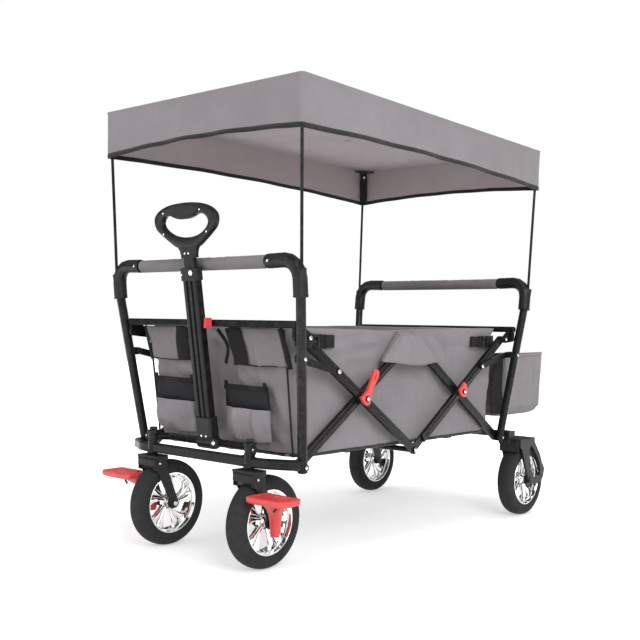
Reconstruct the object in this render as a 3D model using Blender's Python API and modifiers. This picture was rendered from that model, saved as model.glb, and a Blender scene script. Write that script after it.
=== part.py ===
"""A folding wagon with a sun roof, modelled as separate solids.

Metres, +Z up. The pull handle is at -Y, the storage bag at +Y, and +X is the left side.
While it is built, Y = 0 is the middle of the folding frame. The last step moves everything
along Y, so that the world's origin is under the middle of the whole wagon, on the floor.
"""
import math

import bmesh
import bpy
import numpy as np
from mathutils import Matrix, Vector

# Clearances
GAP = 0.0003
STEP = 0.0006
PIN_PLAY = 0.0004
OPEN_PIVOT_PLAY = 0.0012
LAYER_GAP = 0.002

# Folding bars, seen from the side
FOOT_Y = 0.430
HUB_Z = 0.234
OPEN_ANGLE = math.radians(33.0)
FOLDED_ANGLE = math.radians(75.0)
BAR_WIDTH = 0.022
BAR_THICKNESS = 0.010
BAR_TAB_LENGTH = 0.047
INNER_LAYER_X = 0.2415
OUTER_LAYER_X = INNER_LAYER_X + BAR_THICKNESS + LAYER_GAP
PIVOT_PIN_RADIUS = 0.004
RIVET_HEAD_RADIUS = 0.0075
RIVET_HEAD_THICKNESS = 0.0022

BAR_LENGTH = FOOT_Y / math.cos(OPEN_ANGLE)
TOP_Z = HUB_Z + BAR_LENGTH * math.sin(OPEN_ANGLE)
CROSSING_Y = FOOT_Y / 2
CROSSING_Z = (HUB_Z + TOP_Z) / 2
OUTER_FACE_X = OUTER_LAYER_X + BAR_THICKNESS

# Corner posts, which lean outwards and reach up into the push bar's elbows
PUSH_BAR_Z = 0.6795
POST_RADIUS = 0.011
POST_BOTTOM_Z = 0.2225
POST_TOP_Z = PUSH_BAR_Z - 0.0555
POST_FOOT_X = INNER_LAYER_X + BAR_THICKNESS + POST_RADIUS + 0.0012
POST_LEAN_X = 0.1028
POST_LEAN_Y = 0.1637

# Stay links between the posts and the outer bars
STAY_PIVOT_INSET = 0.0135
STAY_TO_BAR_END = 0.135
STAY_WIDTH = 0.016
STAY_THICKNESS = 0.004
STAY_X = OUTER_FACE_X + 0.001
STAY_LUG_HEIGHT = 0.018

# Lower front frame and casters
LOWER_TUBE_Y = 0.491
LOWER_TUBE_Z = 0.241
LOWER_TUBE_HEIGHT = 0.022
LOWER_TUBE_DEPTH = 0.018
CASTER_X = 0.163
SLEEVE_RADIUS = 0.0125
SLEEVE_BOTTOM_Z = 0.2275
SLEEVE_TOP_Z = 0.283
KINGPIN_RADIUS = 0.006
YOKE_Y = 0.462
YOKE_Z = 0.268
YOKE_RADIUS = 0.009

# Wheels
WHEEL_RADIUS = 0.104
TYRE_WIDTH = 0.048
RIM_RADIUS = 0.074
RIM_WIDTH = 0.040
RIM_WALL = 0.0065
HUB_RADIUS = 0.017
SPOKE_COUNT = 6
AXLE_RADIUS = 0.005
CASTER_TRAIL = 0.048
REAR_WHEEL_X = 0.274
REAR_WHEEL_Y = 0.539
FORK_ROOM = 0.0035
FORK_PLATE = 0.004
FORK_TOP_Z = 0.224
FORK_SKIRT_Z = 0.190
FORK_BOX_HALF = 0.021

# Upper crossbars, elbows and push bars
CROSSBAR_Y = 0.474
CROSSBAR_TOP_Z = 0.552
CROSSBAR_HEIGHT = 0.0165
CROSSBAR_DEPTH = 0.016
BRACKET_THICKNESS = 0.008
PUSH_BAR_Y = 0.4985
PUSH_TUBE_RADIUS = 0.011
PUSH_SLEEVE_RADIUS = 0.0155
ELBOW_RADIUS = 0.0165
ELBOW_END_X = 0.213
ELBOW_BOTTOM_Z = PUSH_BAR_Z - 0.0785
ELBOW_SHOULDER_Z = PUSH_BAR_Z - 0.0115
SOCKET_RADIUS = 0.011
SOCKET_BOTTOM_Z = PUSH_BAR_Z - 0.0735
SOCKET_TOP_Z = PUSH_BAR_Z - 0.0175
SOCKET_DEPTH = 0.030

# Canopy
CANOPY_HALF_X = 0.328
CANOPY_HALF_Y = 0.529
CANOPY_TOP_Z = 1.068
VALANCE_CORNER_Z = 0.950
VALANCE_ARCH = 0.013
VALANCE_LEAN = 0.003
CANOPY_SAG = 0.010
CANOPY_CLOTH = 0.0024
CORNER_POCKET_RADIUS = 0.0075
CORNER_POCKET_DEPTH = 0.090
CORNER_WING = 0.038
ROD_RADIUS = 0.0037
ROD_EDGE_GAP = 0.0088
ROD_ROOF_GAP = 0.013
ROD_VALANCE_GAP = 0.002
ROD_BOTTOM = Vector((0.3095, PUSH_BAR_Y, SOCKET_TOP_Z))
ROD_TOP = Vector((CANOPY_HALF_X - ROD_EDGE_GAP, CANOPY_HALF_Y - ROD_EDGE_GAP,
                  CANOPY_TOP_Z - ROD_ROOF_GAP))

# Cloth tub
TUB_BAR_GAP = 0.003
TUB_YOKE_GAP = 0.039
TUB_CROSSBAR_GAP = 0.010
TUB_HALF_X = INNER_LAYER_X - TUB_BAR_GAP
TUB_HALF_Y_BOTTOM = YOKE_Y - YOKE_RADIUS - TUB_YOKE_GAP
TUB_HALF_Y_TOP = CROSSBAR_Y - CROSSBAR_DEPTH / 2 - TUB_CROSSBAR_GAP
TUB_BOTTOM_Z = 0.2475
TUB_TOP_Z = 0.538
TUB_CORNER = 0.030
TUB_CLOTH = 0.0035
TUB_SIDE_SAG = 0.006
FLAP_TOP_HALF = 0.045
FLAP_BOTTOM_HALF = 0.090
FLAP_BOTTOM_Z = 0.452
FLAP_CENTRE_Y = -0.018
FLAP_CLOTH = 0.0022
FLAP_X = STAY_X + STAY_THICKNESS

# Buckles on the tub's side, near its corners
BUCKLE_Y = 0.379
BUCKLE_Z = 0.507
BUCKLE_SIZE = Vector((0.0105, 0.044, 0.031))
WEBBING_SIZE = Vector((0.003, 0.056, 0.027))

# Rear storage bag
BAG_HALF_X = 0.246
BAG_FRONT_Y = 0.486
BAG_REAR_Y = 0.727
BAG_TOP_Z = 0.477
BAG_BOTTOM_Z = 0.281
BAG_EDGE = 0.022
BAG_CLOTH = 0.003
BAG_MOUTH_WIDTH = 0.046
BAG_STRAP_X = 0.180
BAG_STRAP_WIDTH = 0.038
BAG_STRAP_THICKNESS = 0.002
BAG_STRAP_TOP_Z = 0.536

# Pull handle, in its own frame: u runs up the handle from its pivot
HANDLE_LEAN = math.radians(9.4)
RAIL_WIDTH = 0.0435
RAIL_DEPTH = 0.0205
RAIL_WALL = 0.0025
RAIL_BOTTOM_U = 0.022
RAIL_TOP_U = 0.385
COLLAR_WIDTH = 0.0535
COLLAR_DEPTH = 0.0265
COLLAR_BOTTOM_U = 0.377
COLLAR_TOP_U = 0.406
INNER_TUBE_WIDTH = 0.033
INNER_TUBE_DEPTH = 0.0130
INNER_TUBE_BOTTOM_U = 0.060
HANDLE_TRAVEL = 0.220
GRIP_NECK_U = 0.428
GRIP_TOP_U = 0.554
GRIP_HALF_WIDTH = 0.103
GRIP_DEPTH = 0.0205
FOOT_WIDTH = 0.0515
FOOT_TOP_U = 0.060
HUB_RING_RADIUS = 0.0165
BUTTON_RADIUS = 0.006
BUTTON_TRAVEL = 0.003
BUTTON_X = 0.0135

# Brake pedals
PEDAL_GAP = 0.0012
PEDAL_STEM_THICKNESS = 0.012
PEDAL_REACH = 0.088
PEDAL_PLATE_WIDTH = 0.096
PEDAL_PLATE_HEIGHT = 0.020
PEDAL_PLATE_Z = 0.157
PEDAL_PLATE_Y = -0.492
PEDAL_HUB_RADIUS = 0.019

# Locking levers on the crossings
LATCH_THICKNESS = 0.008
LATCH_GAP = 0.0025

CYLINDER_SIDES = 12
WHEEL_SIDES = 28

COLOURS = {
    "steel_black": ((0.018, 0.018, 0.020), 0.38, 0.6),
    "plastic_black": ((0.022, 0.022, 0.024), 0.55, 0.0),
    "plastic_red": ((0.75, 0.055, 0.06), 0.45, 0.0),
    "plastic_grey": ((0.09, 0.09, 0.095), 0.5, 0.0),
    "fabric_grey": ((0.235, 0.220, 0.225), 0.9, 0.0),
    "webbing_black": ((0.015, 0.015, 0.017), 0.85, 0.0),
    "rivet_steel": ((0.62, 0.62, 0.64), 0.3, 1.0),
    "chrome": ((0.80, 0.80, 0.82), 0.08, 1.0),
    "tyre_rubber": ((0.028, 0.028, 0.030), 0.8, 0.0),
}


# Scene helpers

def clear_scene():
    for item in list(bpy.data.objects):
        bpy.data.objects.remove(item, do_unlink=True)


def make_collection(name):
    collection = bpy.data.collections.new(name)
    bpy.context.scene.collection.children.link(collection)
    return collection


def make_material(node_name, colour_name):
    colour, roughness, metallic = COLOURS[colour_name]
    material = bpy.data.materials.new(node_name + "_" + colour_name)
    material.use_nodes = True
    shader = material.node_tree.nodes["Principled BSDF"]
    shader.inputs["Base Color"].default_value = (*colour, 1.0)
    shader.inputs["Roughness"].default_value = roughness
    shader.inputs["Metallic"].default_value = metallic
    material.diffuse_color = (*colour, 1.0)
    return material


def object_from_bmesh(bm, name="piece"):
    mesh = bpy.data.meshes.new(name)
    bm.to_mesh(mesh)
    bm.free()
    item = bpy.data.objects.new(name, mesh)
    PARTS.objects.link(item)
    return item


def tidy_mesh(mesh, weld=0.00001):
    """Weld, make faces point out and, if the solid is inside out, flip it."""
    bm = bmesh.new()
    bm.from_mesh(mesh)
    bmesh.ops.remove_doubles(bm, verts=bm.verts, dist=weld)
    bmesh.ops.recalc_face_normals(bm, faces=bm.faces)
    if bm.calc_volume(signed=True) < 0:
        bmesh.ops.reverse_faces(bm, faces=bm.faces)
    bm.to_mesh(mesh)
    bm.free()


def bake(item):
    """Turn a curve, or a mesh with modifiers, into a plain mesh in world space."""
    bpy.context.view_layer.update()
    evaluated = item.evaluated_get(bpy.context.evaluated_depsgraph_get())
    mesh = bpy.data.meshes.new_from_object(evaluated)
    mesh.transform(item.matrix_world)
    name = item.name
    bpy.data.objects.remove(item, do_unlink=True)
    solid = bpy.data.objects.new(name, mesh)
    PARTS.objects.link(solid)
    tidy_mesh(mesh)
    return solid


def apply_boolean(item, other, operation):
    modifier = item.modifiers.new("cut", "BOOLEAN")
    modifier.operation = operation
    modifier.solver = "EXACT"
    modifier.object = other
    result = bake(item)
    bpy.data.objects.remove(other, do_unlink=True)
    return result


def union(item, *others):
    for other in others:
        item = apply_boolean(item, other, "UNION")
    return item


def cut(item, *others):
    for other in others:
        item = apply_boolean(item, other, "DIFFERENCE")
    return item


def soften(item, width, segments=1):
    modifier = item.modifiers.new("edge", "BEVEL")
    modifier.width = width
    modifier.segments = segments
    modifier.limit_method = "ANGLE"
    modifier.angle_limit = math.radians(40)
    return bake(item)


def reflected(item, axis, keep=True):
    """A mirror image of a solid about the plane through the origin across the given axis."""
    bm = bmesh.new()
    bm.from_mesh(item.data)
    factors = [1.0, 1.0, 1.0]
    factors[axis] = -1.0
    bmesh.ops.scale(bm, vec=Vector(factors), verts=bm.verts)
    bmesh.ops.reverse_faces(bm, faces=bm.faces)
    if not keep:
        bpy.data.objects.remove(item, do_unlink=True)
    return object_from_bmesh(bm)


def finish_pair(left, name, colour_name, pivot=(0.0, 0.0, 0.0)):
    """Name a left-hand solid and its mirror image on the right as two nodes."""
    right = reflected(left, 0)
    mirrored = (-pivot[0], pivot[1], pivot[2])
    finish_node(left, name + "_left", colour_name, pivot)
    finish_node(right, name + "_right", colour_name, mirrored)


def finish_four(front, name, colour_name, pivot):
    """Name a front left solid and its three mirror images as four nodes."""
    rear = reflected(front, 1)
    finish_pair(front, name + "_front", colour_name, pivot)
    finish_pair(rear, name + "_rear", colour_name, (pivot[0], -pivot[1], pivot[2]))


def finish_node(item, name, colour_name, pivot=(0.0, 0.0, 0.0)):
    """Name a node, give it its material, and put its origin on its joint's axis."""
    pivot = Vector(pivot)
    item.data.transform(Matrix.Translation(-pivot))
    item.location = pivot
    item.name = name
    item.data.name = name
    item.data.materials.clear()
    item.data.materials.append(make_material(name, colour_name))
    item.data.shade_smooth()
    item.data.set_sharp_from_angle(angle=math.radians(35))
    item.parent = BASE
    return item


# Shape helpers

def circle(centre, radius, sides=CYLINDER_SIDES, start=0.0, sweep=2 * math.pi):
    """Points on a circle, or on an arc of it with both of its ends."""
    whole = abs(sweep - 2 * math.pi) < 1e-9
    steps = sides if whole else sides + 1
    angles = [start + sweep * step / sides for step in range(steps)]
    return [(centre[0] + radius * math.cos(a), centre[1] + radius * math.sin(a)) for a in angles]


def stadium(start, end, half_width, arc_steps=6, round_start=True):
    """Outline of a flat bar between two points, with round ends or one square one."""
    direction = math.atan2(end[1] - start[1], end[0] - start[0])
    quarter = math.pi / 2
    points = circle(end, half_width, arc_steps, direction - quarter, math.pi)
    if round_start:
        return points + circle(start, half_width, arc_steps, direction + quarter, math.pi)
    side = (-math.sin(direction) * half_width, math.cos(direction) * half_width)
    return points + [(start[0] + side[0], start[1] + side[1]), (start[0] - side[0], start[1] - side[1])]


def hull_of_circles(circles, sides=24):
    """Convex outline round a few circles, each given as (centre, radius)."""
    points = []
    for centre, radius in circles:
        points += circle(centre, radius, sides)
    points = sorted(set((round(u, 7), round(v, 7)) for u, v in points))

    def half(ordered):
        chain = []
        for point in ordered:
            while len(chain) > 1:
                (u1, v1), (u2, v2) = chain[-2], chain[-1]
                if (u2 - u1) * (point[1] - v1) - (v2 - v1) * (point[0] - u1) > 1e-12:
                    break
                chain.pop()
            chain.append(point)
        return chain[:-1]

    return half(points) + half(points[::-1])


AXIS_FRAMES = {
    "X": Matrix(((0, 0, 1), (1, 0, 0), (0, 1, 0))).to_4x4(),
    "Y": Matrix(((1, 0, 0), (0, 0, -1), (0, 1, 0))).to_4x4(),
    "Z": Matrix.Identity(4),
}


def plate(outline, low, high, axis="X", holes=()):
    """A flat outline, with holes, between two values of one axis.

    The outline's points are (y, z) for axis X, (x, z) for axis Y and (x, y) for axis Z.
    """
    curve = bpy.data.curves.new("plate", "CURVE")
    curve.dimensions = "2D"
    curve.fill_mode = "BOTH"
    curve.extrude = (high - low) / 2
    for ring in [outline, *holes]:
        spline = curve.splines.new("POLY")
        spline.points.add(len(ring) - 1)
        for point, (u, v) in zip(spline.points, ring):
            point.co = (u, v, 0.0, 1.0)
        spline.use_cyclic_u = True
    item = bpy.data.objects.new("plate", curve)
    PARTS.objects.link(item)
    middle = (low + high) / 2
    offset = -middle if axis == "Y" else middle
    item.matrix_world = AXIS_FRAMES[axis] @ Matrix.Translation((0.0, 0.0, offset))
    return bake(item)


def box(size, centre, turn=None):
    bm = bmesh.new()
    bmesh.ops.create_cube(bm, size=1.0)
    bmesh.ops.scale(bm, vec=Vector(size), verts=bm.verts)
    matrix = Matrix.Translation(Vector(centre)) @ (turn or Matrix.Identity(4))
    bmesh.ops.transform(bm, matrix=matrix, verts=bm.verts)
    return object_from_bmesh(bm)


def span_box(low, high):
    low, high = Vector(low), Vector(high)
    return box(high - low, (low + high) / 2)


def rod(start, end, radius, sides=CYLINDER_SIDES, end_radius=None):
    """A round bar between two points."""
    start, end = Vector(start), Vector(end)
    bm = bmesh.new()
    bmesh.ops.create_cone(bm, cap_ends=True, segments=sides, radius1=radius,
                          radius2=end_radius or radius, depth=(end - start).length)
    turn = (end - start).to_track_quat("Z", "Y").to_matrix().to_4x4()
    bmesh.ops.transform(bm, matrix=Matrix.Translation((start + end) / 2) @ turn, verts=bm.verts)
    return object_from_bmesh(bm)


def x_pin(y, z, low, high, radius, sides=CYLINDER_SIDES):
    return rod((low, y, z), (high, y, z), radius, sides)


def x_ring(y, z, low, high, radius, bore, sides=CYLINDER_SIDES):
    return plate(circle((y, z), radius, sides), low, high, "X", [circle((y, z), bore, sides)])


def rounded_path(corners, radii, steps=5):
    """Points along straight runs whose corners are rounded by arcs."""
    corners = [Vector(corner) for corner in corners]
    path = [corners[0]]
    for before, corner, after, radius in zip(corners, corners[1:], corners[2:], radii):
        to_before = (before - corner).normalized()
        to_after = (after - corner).normalized()
        half_angle = to_before.angle(to_after) / 2
        cut_back = radius / math.tan(half_angle)
        centre = corner + (to_before + to_after).normalized() * radius / math.sin(half_angle)
        first = corner + to_before * cut_back - centre
        last = corner + to_after * cut_back - centre
        for step in range(steps + 1):
            path.append(centre + first.slerp(last, step / steps) * radius)
    return path + [corners[-1]]


def tube(points, radius, resolution=4, profile=None):
    """A round tube along points, or a bar whose section is the given closed outline."""
    curve = bpy.data.curves.new("tube", "CURVE")
    curve.dimensions = "3D"
    curve.use_fill_caps = True
    guide = None
    if profile is None:
        curve.bevel_depth = radius
        curve.bevel_resolution = resolution
    else:
        outline = bpy.data.curves.new("section", "CURVE")
        outline.dimensions = "2D"
        ring = outline.splines.new("POLY")
        ring.points.add(len(profile) - 1)
        for point, (u, v) in zip(ring.points, profile):
            point.co = (u, v, 0.0, 1.0)
        ring.use_cyclic_u = True
        guide = bpy.data.objects.new("section", outline)
        CUTTERS.objects.link(guide)
        curve.bevel_mode = "OBJECT"
        curve.bevel_object = guide
    spline = curve.splines.new("POLY")
    spline.points.add(len(points) - 1)
    for point, co in zip(spline.points, points):
        point.co = (*co, 1.0)
    item = bpy.data.objects.new("tube", curve)
    PARTS.objects.link(item)
    item = bake(item)
    if guide:
        bpy.data.objects.remove(guide, do_unlink=True)
    return item


def turned(profile, centre, sides=WHEEL_SIDES):
    """A ring turned about the X axis from (offset along X, radius) points of a closed section."""
    bm = bmesh.new()
    ring = [bm.verts.new((x, 0.0, -r)) for x, r in profile]
    for here, there in zip(ring, ring[1:] + ring[:1]):
        bm.edges.new((here, there))
    item = object_from_bmesh(bm)
    screw = item.modifiers.new("turn", "SCREW")
    screw.axis = "X"
    screw.steps = screw.render_steps = sides
    screw.use_merge_vertices = True
    item.location = centre
    return bake(item)


def lofted(rings, close_start=True, close_end=True):
    """A skin through rings of the same number of points."""
    bm = bmesh.new()
    loops = [[bm.verts.new(point) for point in ring] for ring in rings]
    count = len(loops[0])
    for here, there in zip(loops, loops[1:]):
        for k in range(count):
            n = (k + 1) % count
            bm.faces.new((here[k], here[n], there[n], there[k]))
    if close_start:
        bm.faces.new(loops[0][::-1])
    if close_end:
        bm.faces.new(loops[-1])
    return object_from_bmesh(bm)


def thicken(item, thickness, offset=-1.0):
    modifier = item.modifiers.new("cloth", "SOLIDIFY")
    modifier.thickness = thickness
    modifier.offset = offset
    modifier.use_even_offset = True
    return bake(item)


# Places that several pieces share

def post_point(z):
    """The middle of the front left post at a height."""
    rise = z - HUB_Z
    return Vector((POST_FOOT_X + POST_LEAN_X * rise, -(FOOT_Y + POST_LEAN_Y * rise), z))


def stay_point_on_bar(angle):
    """Where the stay meets the outer bar, seen from the foot pivot, at a fold angle."""
    return Vector((STAY_TO_BAR_END * math.cos(angle),
                   (BAR_LENGTH - STAY_TO_BAR_END) * math.sin(angle)))


def stay_pivot():
    """The stay's pivot on the post, (y, z), placed so that the stay closes exactly when the
    frame is open and again when it is folded."""
    open_point = stay_point_on_bar(OPEN_ANGLE)
    folded_point = stay_point_on_bar(FOLDED_ANGLE)
    middle = (open_point + folded_point) / 2
    chord = folded_point - open_point
    rise = middle.y
    for _ in range(20):
        inset = -POST_LEAN_Y * rise + STAY_PIVOT_INSET
        rise = middle.y - (inset - middle.x) * chord.x / chord.y
    return (-FOOT_Y + inset, HUB_Z + rise)


def on_handle(u, across=0.0):
    """(y, z) of a point on the pull handle: u up from its pivot, across towards the wagon."""
    return (-YOKE_Y - u * math.sin(HANDLE_LEAN) + across * math.cos(HANDLE_LEAN),
            YOKE_Z + u * math.cos(HANDLE_LEAN) + across * math.sin(HANDLE_LEAN))


def handle_matrix():
    """Takes the handle's own (x, across, u) to the wagon's frame."""
    return Matrix.Translation((0.0, -YOKE_Y, YOKE_Z)) @ Matrix.Rotation(HANDLE_LEAN, 4, "X")


def to_handle(item):
    item.data.transform(handle_matrix())
    return item


# Folding bars

def folding_bar(hub_end, far_end, layer_x, tab, holes):
    """A left-hand bar, full thickness but for the flattened tab at its hub end.

    Each hole is a (centre, radius) pair in the side view.
    """
    half = BAR_WIDTH / 2
    along = (Vector(far_end) - Vector(hub_end)).normalized()
    shoulder = Vector(hub_end) + along * BAR_TAB_LENGTH
    body_holes = []
    tab_holes = []
    for centre, radius in holes:
        in_tab = (Vector(centre) - Vector(hub_end)).length < BAR_TAB_LENGTH
        (tab_holes if in_tab else body_holes).append(circle(centre, radius))
    body = plate(stadium(shoulder, far_end, half, round_start=False),
                 layer_x, layer_x + BAR_THICKNESS, "X", body_holes)
    tab_end = shoulder + along * half
    flat = plate(stadium(hub_end, tab_end, half * 0.98), layer_x + tab[0], layer_x + tab[1],
                 "X", tab_holes)
    return union(body, flat)


def make_folding_bars():
    """Outer bars run from the hub to the upper corners, inner ones from the top to the feet."""
    near = (0.0003, BAR_THICKNESS / 2 - 0.0003)
    far = (BAR_THICKNESS / 2 + 0.0003, BAR_THICKNESS - 0.0003)
    snug = PIVOT_PIN_RADIUS + PIN_PLAY
    hub, top = (0.0, HUB_Z), (0.0, TOP_Z)
    crossing_low = INNER_LAYER_X - GAP
    crossing_high = latch_low() + LATCH_THICKNESS + GAP
    for end_name, sign, hub_tab, top_tab in (("front", -1, far, near), ("rear", 1, near, far)):
        crossing = (sign * CROSSING_Y, CROSSING_Z)
        foot = (sign * FOOT_Y, HUB_Z)
        outer = folding_bar(hub, (sign * FOOT_Y, TOP_Z), OUTER_LAYER_X, hub_tab, [(hub, snug)])
        outer = union(outer, headed_pin(*crossing, crossing_low, crossing_high))
        finish_pair(outer, "outer_bar_" + end_name, "steel_black", (OUTER_LAYER_X, *hub))
        top_hole = [(top, PIVOT_PIN_RADIUS + OPEN_PIVOT_PLAY)] if sign > 0 else []
        inner = folding_bar(top, foot, INNER_LAYER_X, top_tab,
                            [(crossing, snug), (foot, snug), *top_hole])
        if sign < 0:
            inner = union(inner, headed_pin(*top, crossing_low, INNER_LAYER_X + BAR_THICKNESS + GAP))
        finish_pair(inner, "inner_bar_" + end_name, "steel_black", (INNER_LAYER_X, *crossing))


def headed_pin(y, z, low, high, radius=PIVOT_PIN_RADIUS, head=RIVET_HEAD_RADIUS):
    """A pin along X with a flat head at both ends, outside the span from low to high."""
    shaft = x_pin(y, z, low - RIVET_HEAD_THICKNESS / 2, high + RIVET_HEAD_THICKNESS / 2, radius)
    inner = x_pin(y, z, low - RIVET_HEAD_THICKNESS, low, head)
    outer = x_pin(y, z, high, high + RIVET_HEAD_THICKNESS, head)
    return union(shaft, inner, outer)


def latch_low():
    return OUTER_FACE_X + LATCH_GAP


def make_centre_tube():
    """The cross tube under the floor, whose stepped ends carry the outer bars."""
    end_x = OUTER_LAYER_X - LAYER_GAP
    body = x_pin(0.0, HUB_Z, -end_x, end_x, 0.0072)
    tip_x = OUTER_FACE_X + GAP
    pin = x_pin(0.0, HUB_Z, -tip_x - 0.001, tip_x + 0.001, PIVOT_PIN_RADIUS)
    heads = [x_pin(0.0, HUB_Z, side * tip_x, side * (tip_x + RIVET_HEAD_THICKNESS),
                   RIVET_HEAD_RADIUS) for side in (-1, 1)]
    finish_node(union(body, pin, *heads), "centre_tube", "steel_black")


def make_latches():
    """Red locking levers on the front crossings and fixed catches on the rear ones."""
    low, high = latch_low(), latch_low() + LATCH_THICKNESS
    hole = circle((-CROSSING_Y, CROSSING_Z), PIVOT_PIN_RADIUS + PIN_PLAY)
    lever_outline = [(-0.024, 0.004), (-0.008, -0.013), (0.004, -0.017), (0.013, -0.011),
                     (0.016, 0.002), (0.022, 0.020), (0.044, 0.052), (0.046, 0.062),
                     (0.038, 0.069), (0.026, 0.066), (0.017, 0.045), (0.001, 0.018),
                     (-0.014, 0.008)]
    slot = [(0.027, 0.042), (0.031, 0.046), (0.036, 0.057), (0.032, 0.058), (0.027, 0.049)]

    def shifted(points):
        return [(u - CROSSING_Y, v + CROSSING_Z) for u, v in points]

    lever = soften(plate(shifted(lever_outline), low, high, "X", [hole, shifted(slot)]), 0.001)
    finish_pair(lever, "latch_lever", "plastic_red", (low, -CROSSING_Y, CROSSING_Z))
    catch_outline = [(-0.020, 0.004), (-0.012, -0.010), (0.004, -0.016), (0.014, -0.012),
                     (0.018, 0.004), (0.014, 0.018), (0.004, 0.026), (-0.006, 0.016)]
    catch = plate([(CROSSING_Y + u, CROSSING_Z + v) for u, v in catch_outline], low, high, "X",
                  [circle((CROSSING_Y, CROSSING_Z), PIVOT_PIN_RADIUS + PIN_PLAY)])
    finish_pair(soften(catch, 0.001), "latch_catch_rear", "plastic_red",
                (low, CROSSING_Y, CROSSING_Z))


def make_stays():
    """Flat stays between the posts and the outer bars, front and rear."""
    pivot = stay_pivot()
    meeting = stay_point_on_bar(OPEN_ANGLE)
    meeting = (meeting.x - FOOT_Y, meeting.y + HUB_Z)
    link = plate(stadium(pivot, meeting, STAY_WIDTH / 2), STAY_X, STAY_X + STAY_THICKNESS, "X",
                 [circle(pivot, PIVOT_PIN_RADIUS + PIN_PLAY)])
    head = x_pin(meeting[0], meeting[1], STAY_X + STAY_THICKNESS / 2,
                 STAY_X + STAY_THICKNESS + RIVET_HEAD_THICKNESS, RIVET_HEAD_RADIUS)
    finish_four(union(link, head), "stay_link", "steel_black", (STAY_X, *pivot))


# Posts and upper frame

def make_posts():
    """A post with the rivet at its foot and the lug that carries the stay."""
    post = rod(post_point(POST_BOTTOM_Z), post_point(POST_TOP_Z), POST_RADIUS)
    pivot = stay_pivot()
    middle = post_point(pivot[1])
    lug_low = STAY_X + STAY_THICKNESS + 0.001
    lug = plate(stadium((middle.y, pivot[1]), pivot, STAY_LUG_HEIGHT / 2, round_start=False),
                lug_low, middle.x)
    pin = x_pin(*pivot, STAY_X - GAP - RIVET_HEAD_THICKNESS / 2, lug_low + 0.001, PIVOT_PIN_RADIUS)
    head = x_pin(*pivot, STAY_X - GAP - RIVET_HEAD_THICKNESS, STAY_X - GAP, RIVET_HEAD_RADIUS)
    rivet = headed_pin(-FOOT_Y, HUB_Z, INNER_LAYER_X - GAP, POST_FOOT_X + POST_RADIUS - 0.0005)
    finish_four(union(post, lug, pin, head, rivet), "post", "steel_black",
                (POST_FOOT_X, -FOOT_Y, HUB_Z))


def make_upper_crossbars():
    """A crossbar with the bracket at each end that the outer bar's tip rests behind."""
    bottom = CROSSBAR_TOP_Z - CROSSBAR_HEIGHT
    end_x = post_point(bottom).x - POST_RADIUS - 0.0012
    bar = span_box((-end_x, -CROSSBAR_Y - CROSSBAR_DEPTH / 2, bottom),
                   (end_x, -CROSSBAR_Y + CROSSBAR_DEPTH / 2, CROSSBAR_TOP_Z))
    bar = soften(bar, 0.003)
    low = STAY_X + STAY_THICKNESS + 0.0015
    rest = (-FOOT_Y, TOP_Z + 0.002)
    outline = hull_of_circles([((-CROSSBAR_Y + 0.002, CROSSBAR_TOP_Z - 0.010), 0.0085),
                               ((-CROSSBAR_Y + 0.002, TOP_Z + 0.004), 0.0085), (rest, 0.0105)], 12)
    for side in (-1, 1):
        ends = sorted((side * low, side * (low + BRACKET_THICKNESS)))
        bar = union(bar, plate(outline, *ends))
        heads = sorted((side * (low + BRACKET_THICKNESS - 0.001),
                        side * (low + BRACKET_THICKNESS + RIVET_HEAD_THICKNESS)))
        bar = union(bar, x_pin(*rest, *heads, RIVET_HEAD_RADIUS * 0.8))
    rear = reflected(bar, 1)
    finish_node(bar, "upper_crossbar_front", "steel_black", (0.0, -FOOT_Y, HUB_Z))
    finish_node(rear, "upper_crossbar_rear", "steel_black", (0.0, FOOT_Y, HUB_Z))


def make_elbows():
    """Plastic elbows that join the posts to the push bar and hold the canopy's rods."""
    bottom = post_point(ELBOW_BOTTOM_Z)
    shoulder = post_point(ELBOW_SHOULDER_Z)
    corners = [(ELBOW_END_X, -PUSH_BAR_Y, PUSH_BAR_Z),
               (shoulder.x - 0.006, -PUSH_BAR_Y, PUSH_BAR_Z + 0.002), bottom]
    body = tube(rounded_path(corners, [0.040], 4), ELBOW_RADIUS, 4)
    foot = Vector((ROD_BOTTOM.x - 0.0025, -ROD_BOTTOM.y + 0.0075, SOCKET_BOTTOM_Z))
    top = Vector((ROD_BOTTOM.x, -ROD_BOTTOM.y, SOCKET_TOP_Z))
    lobe = rod(foot, top, SOCKET_RADIUS * 0.75, 12, SOCKET_RADIUS)
    body = union(body, lobe)
    up = (post_point(POST_TOP_Z) - bottom).normalized()
    post_bore = rod(bottom - up * 0.02, post_point(POST_TOP_Z) + up * 0.001, POST_RADIUS + GAP)
    tube_bore = rod((ELBOW_END_X - 0.02, -PUSH_BAR_Y, PUSH_BAR_Z),
                    (push_tube_end() + 0.001, -PUSH_BAR_Y, PUSH_BAR_Z), PUSH_TUBE_RADIUS + GAP)
    low, high = rod_line()
    down = (low - high).normalized()
    rod_bore = rod(low + down * 0.001, low - down * (SOCKET_DEPTH + 0.02), ROD_RADIUS + GAP, 8)
    finish_four(cut(body, post_bore, tube_bore, rod_bore), "elbow", "plastic_black",
                (shoulder.x, -PUSH_BAR_Y, PUSH_BAR_Z))


def push_tube_end():
    return ELBOW_END_X + 0.022


def rod_line():
    """Bottom and top of the front left canopy rod; its foot stands in the elbow's socket."""
    top = Vector((ROD_TOP.x, -ROD_TOP.y, ROD_TOP.z))
    mouth = Vector((ROD_BOTTOM.x, -ROD_BOTTOM.y, ROD_BOTTOM.z))
    down = (mouth - top).normalized()
    return mouth + down * SOCKET_DEPTH, top


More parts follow.
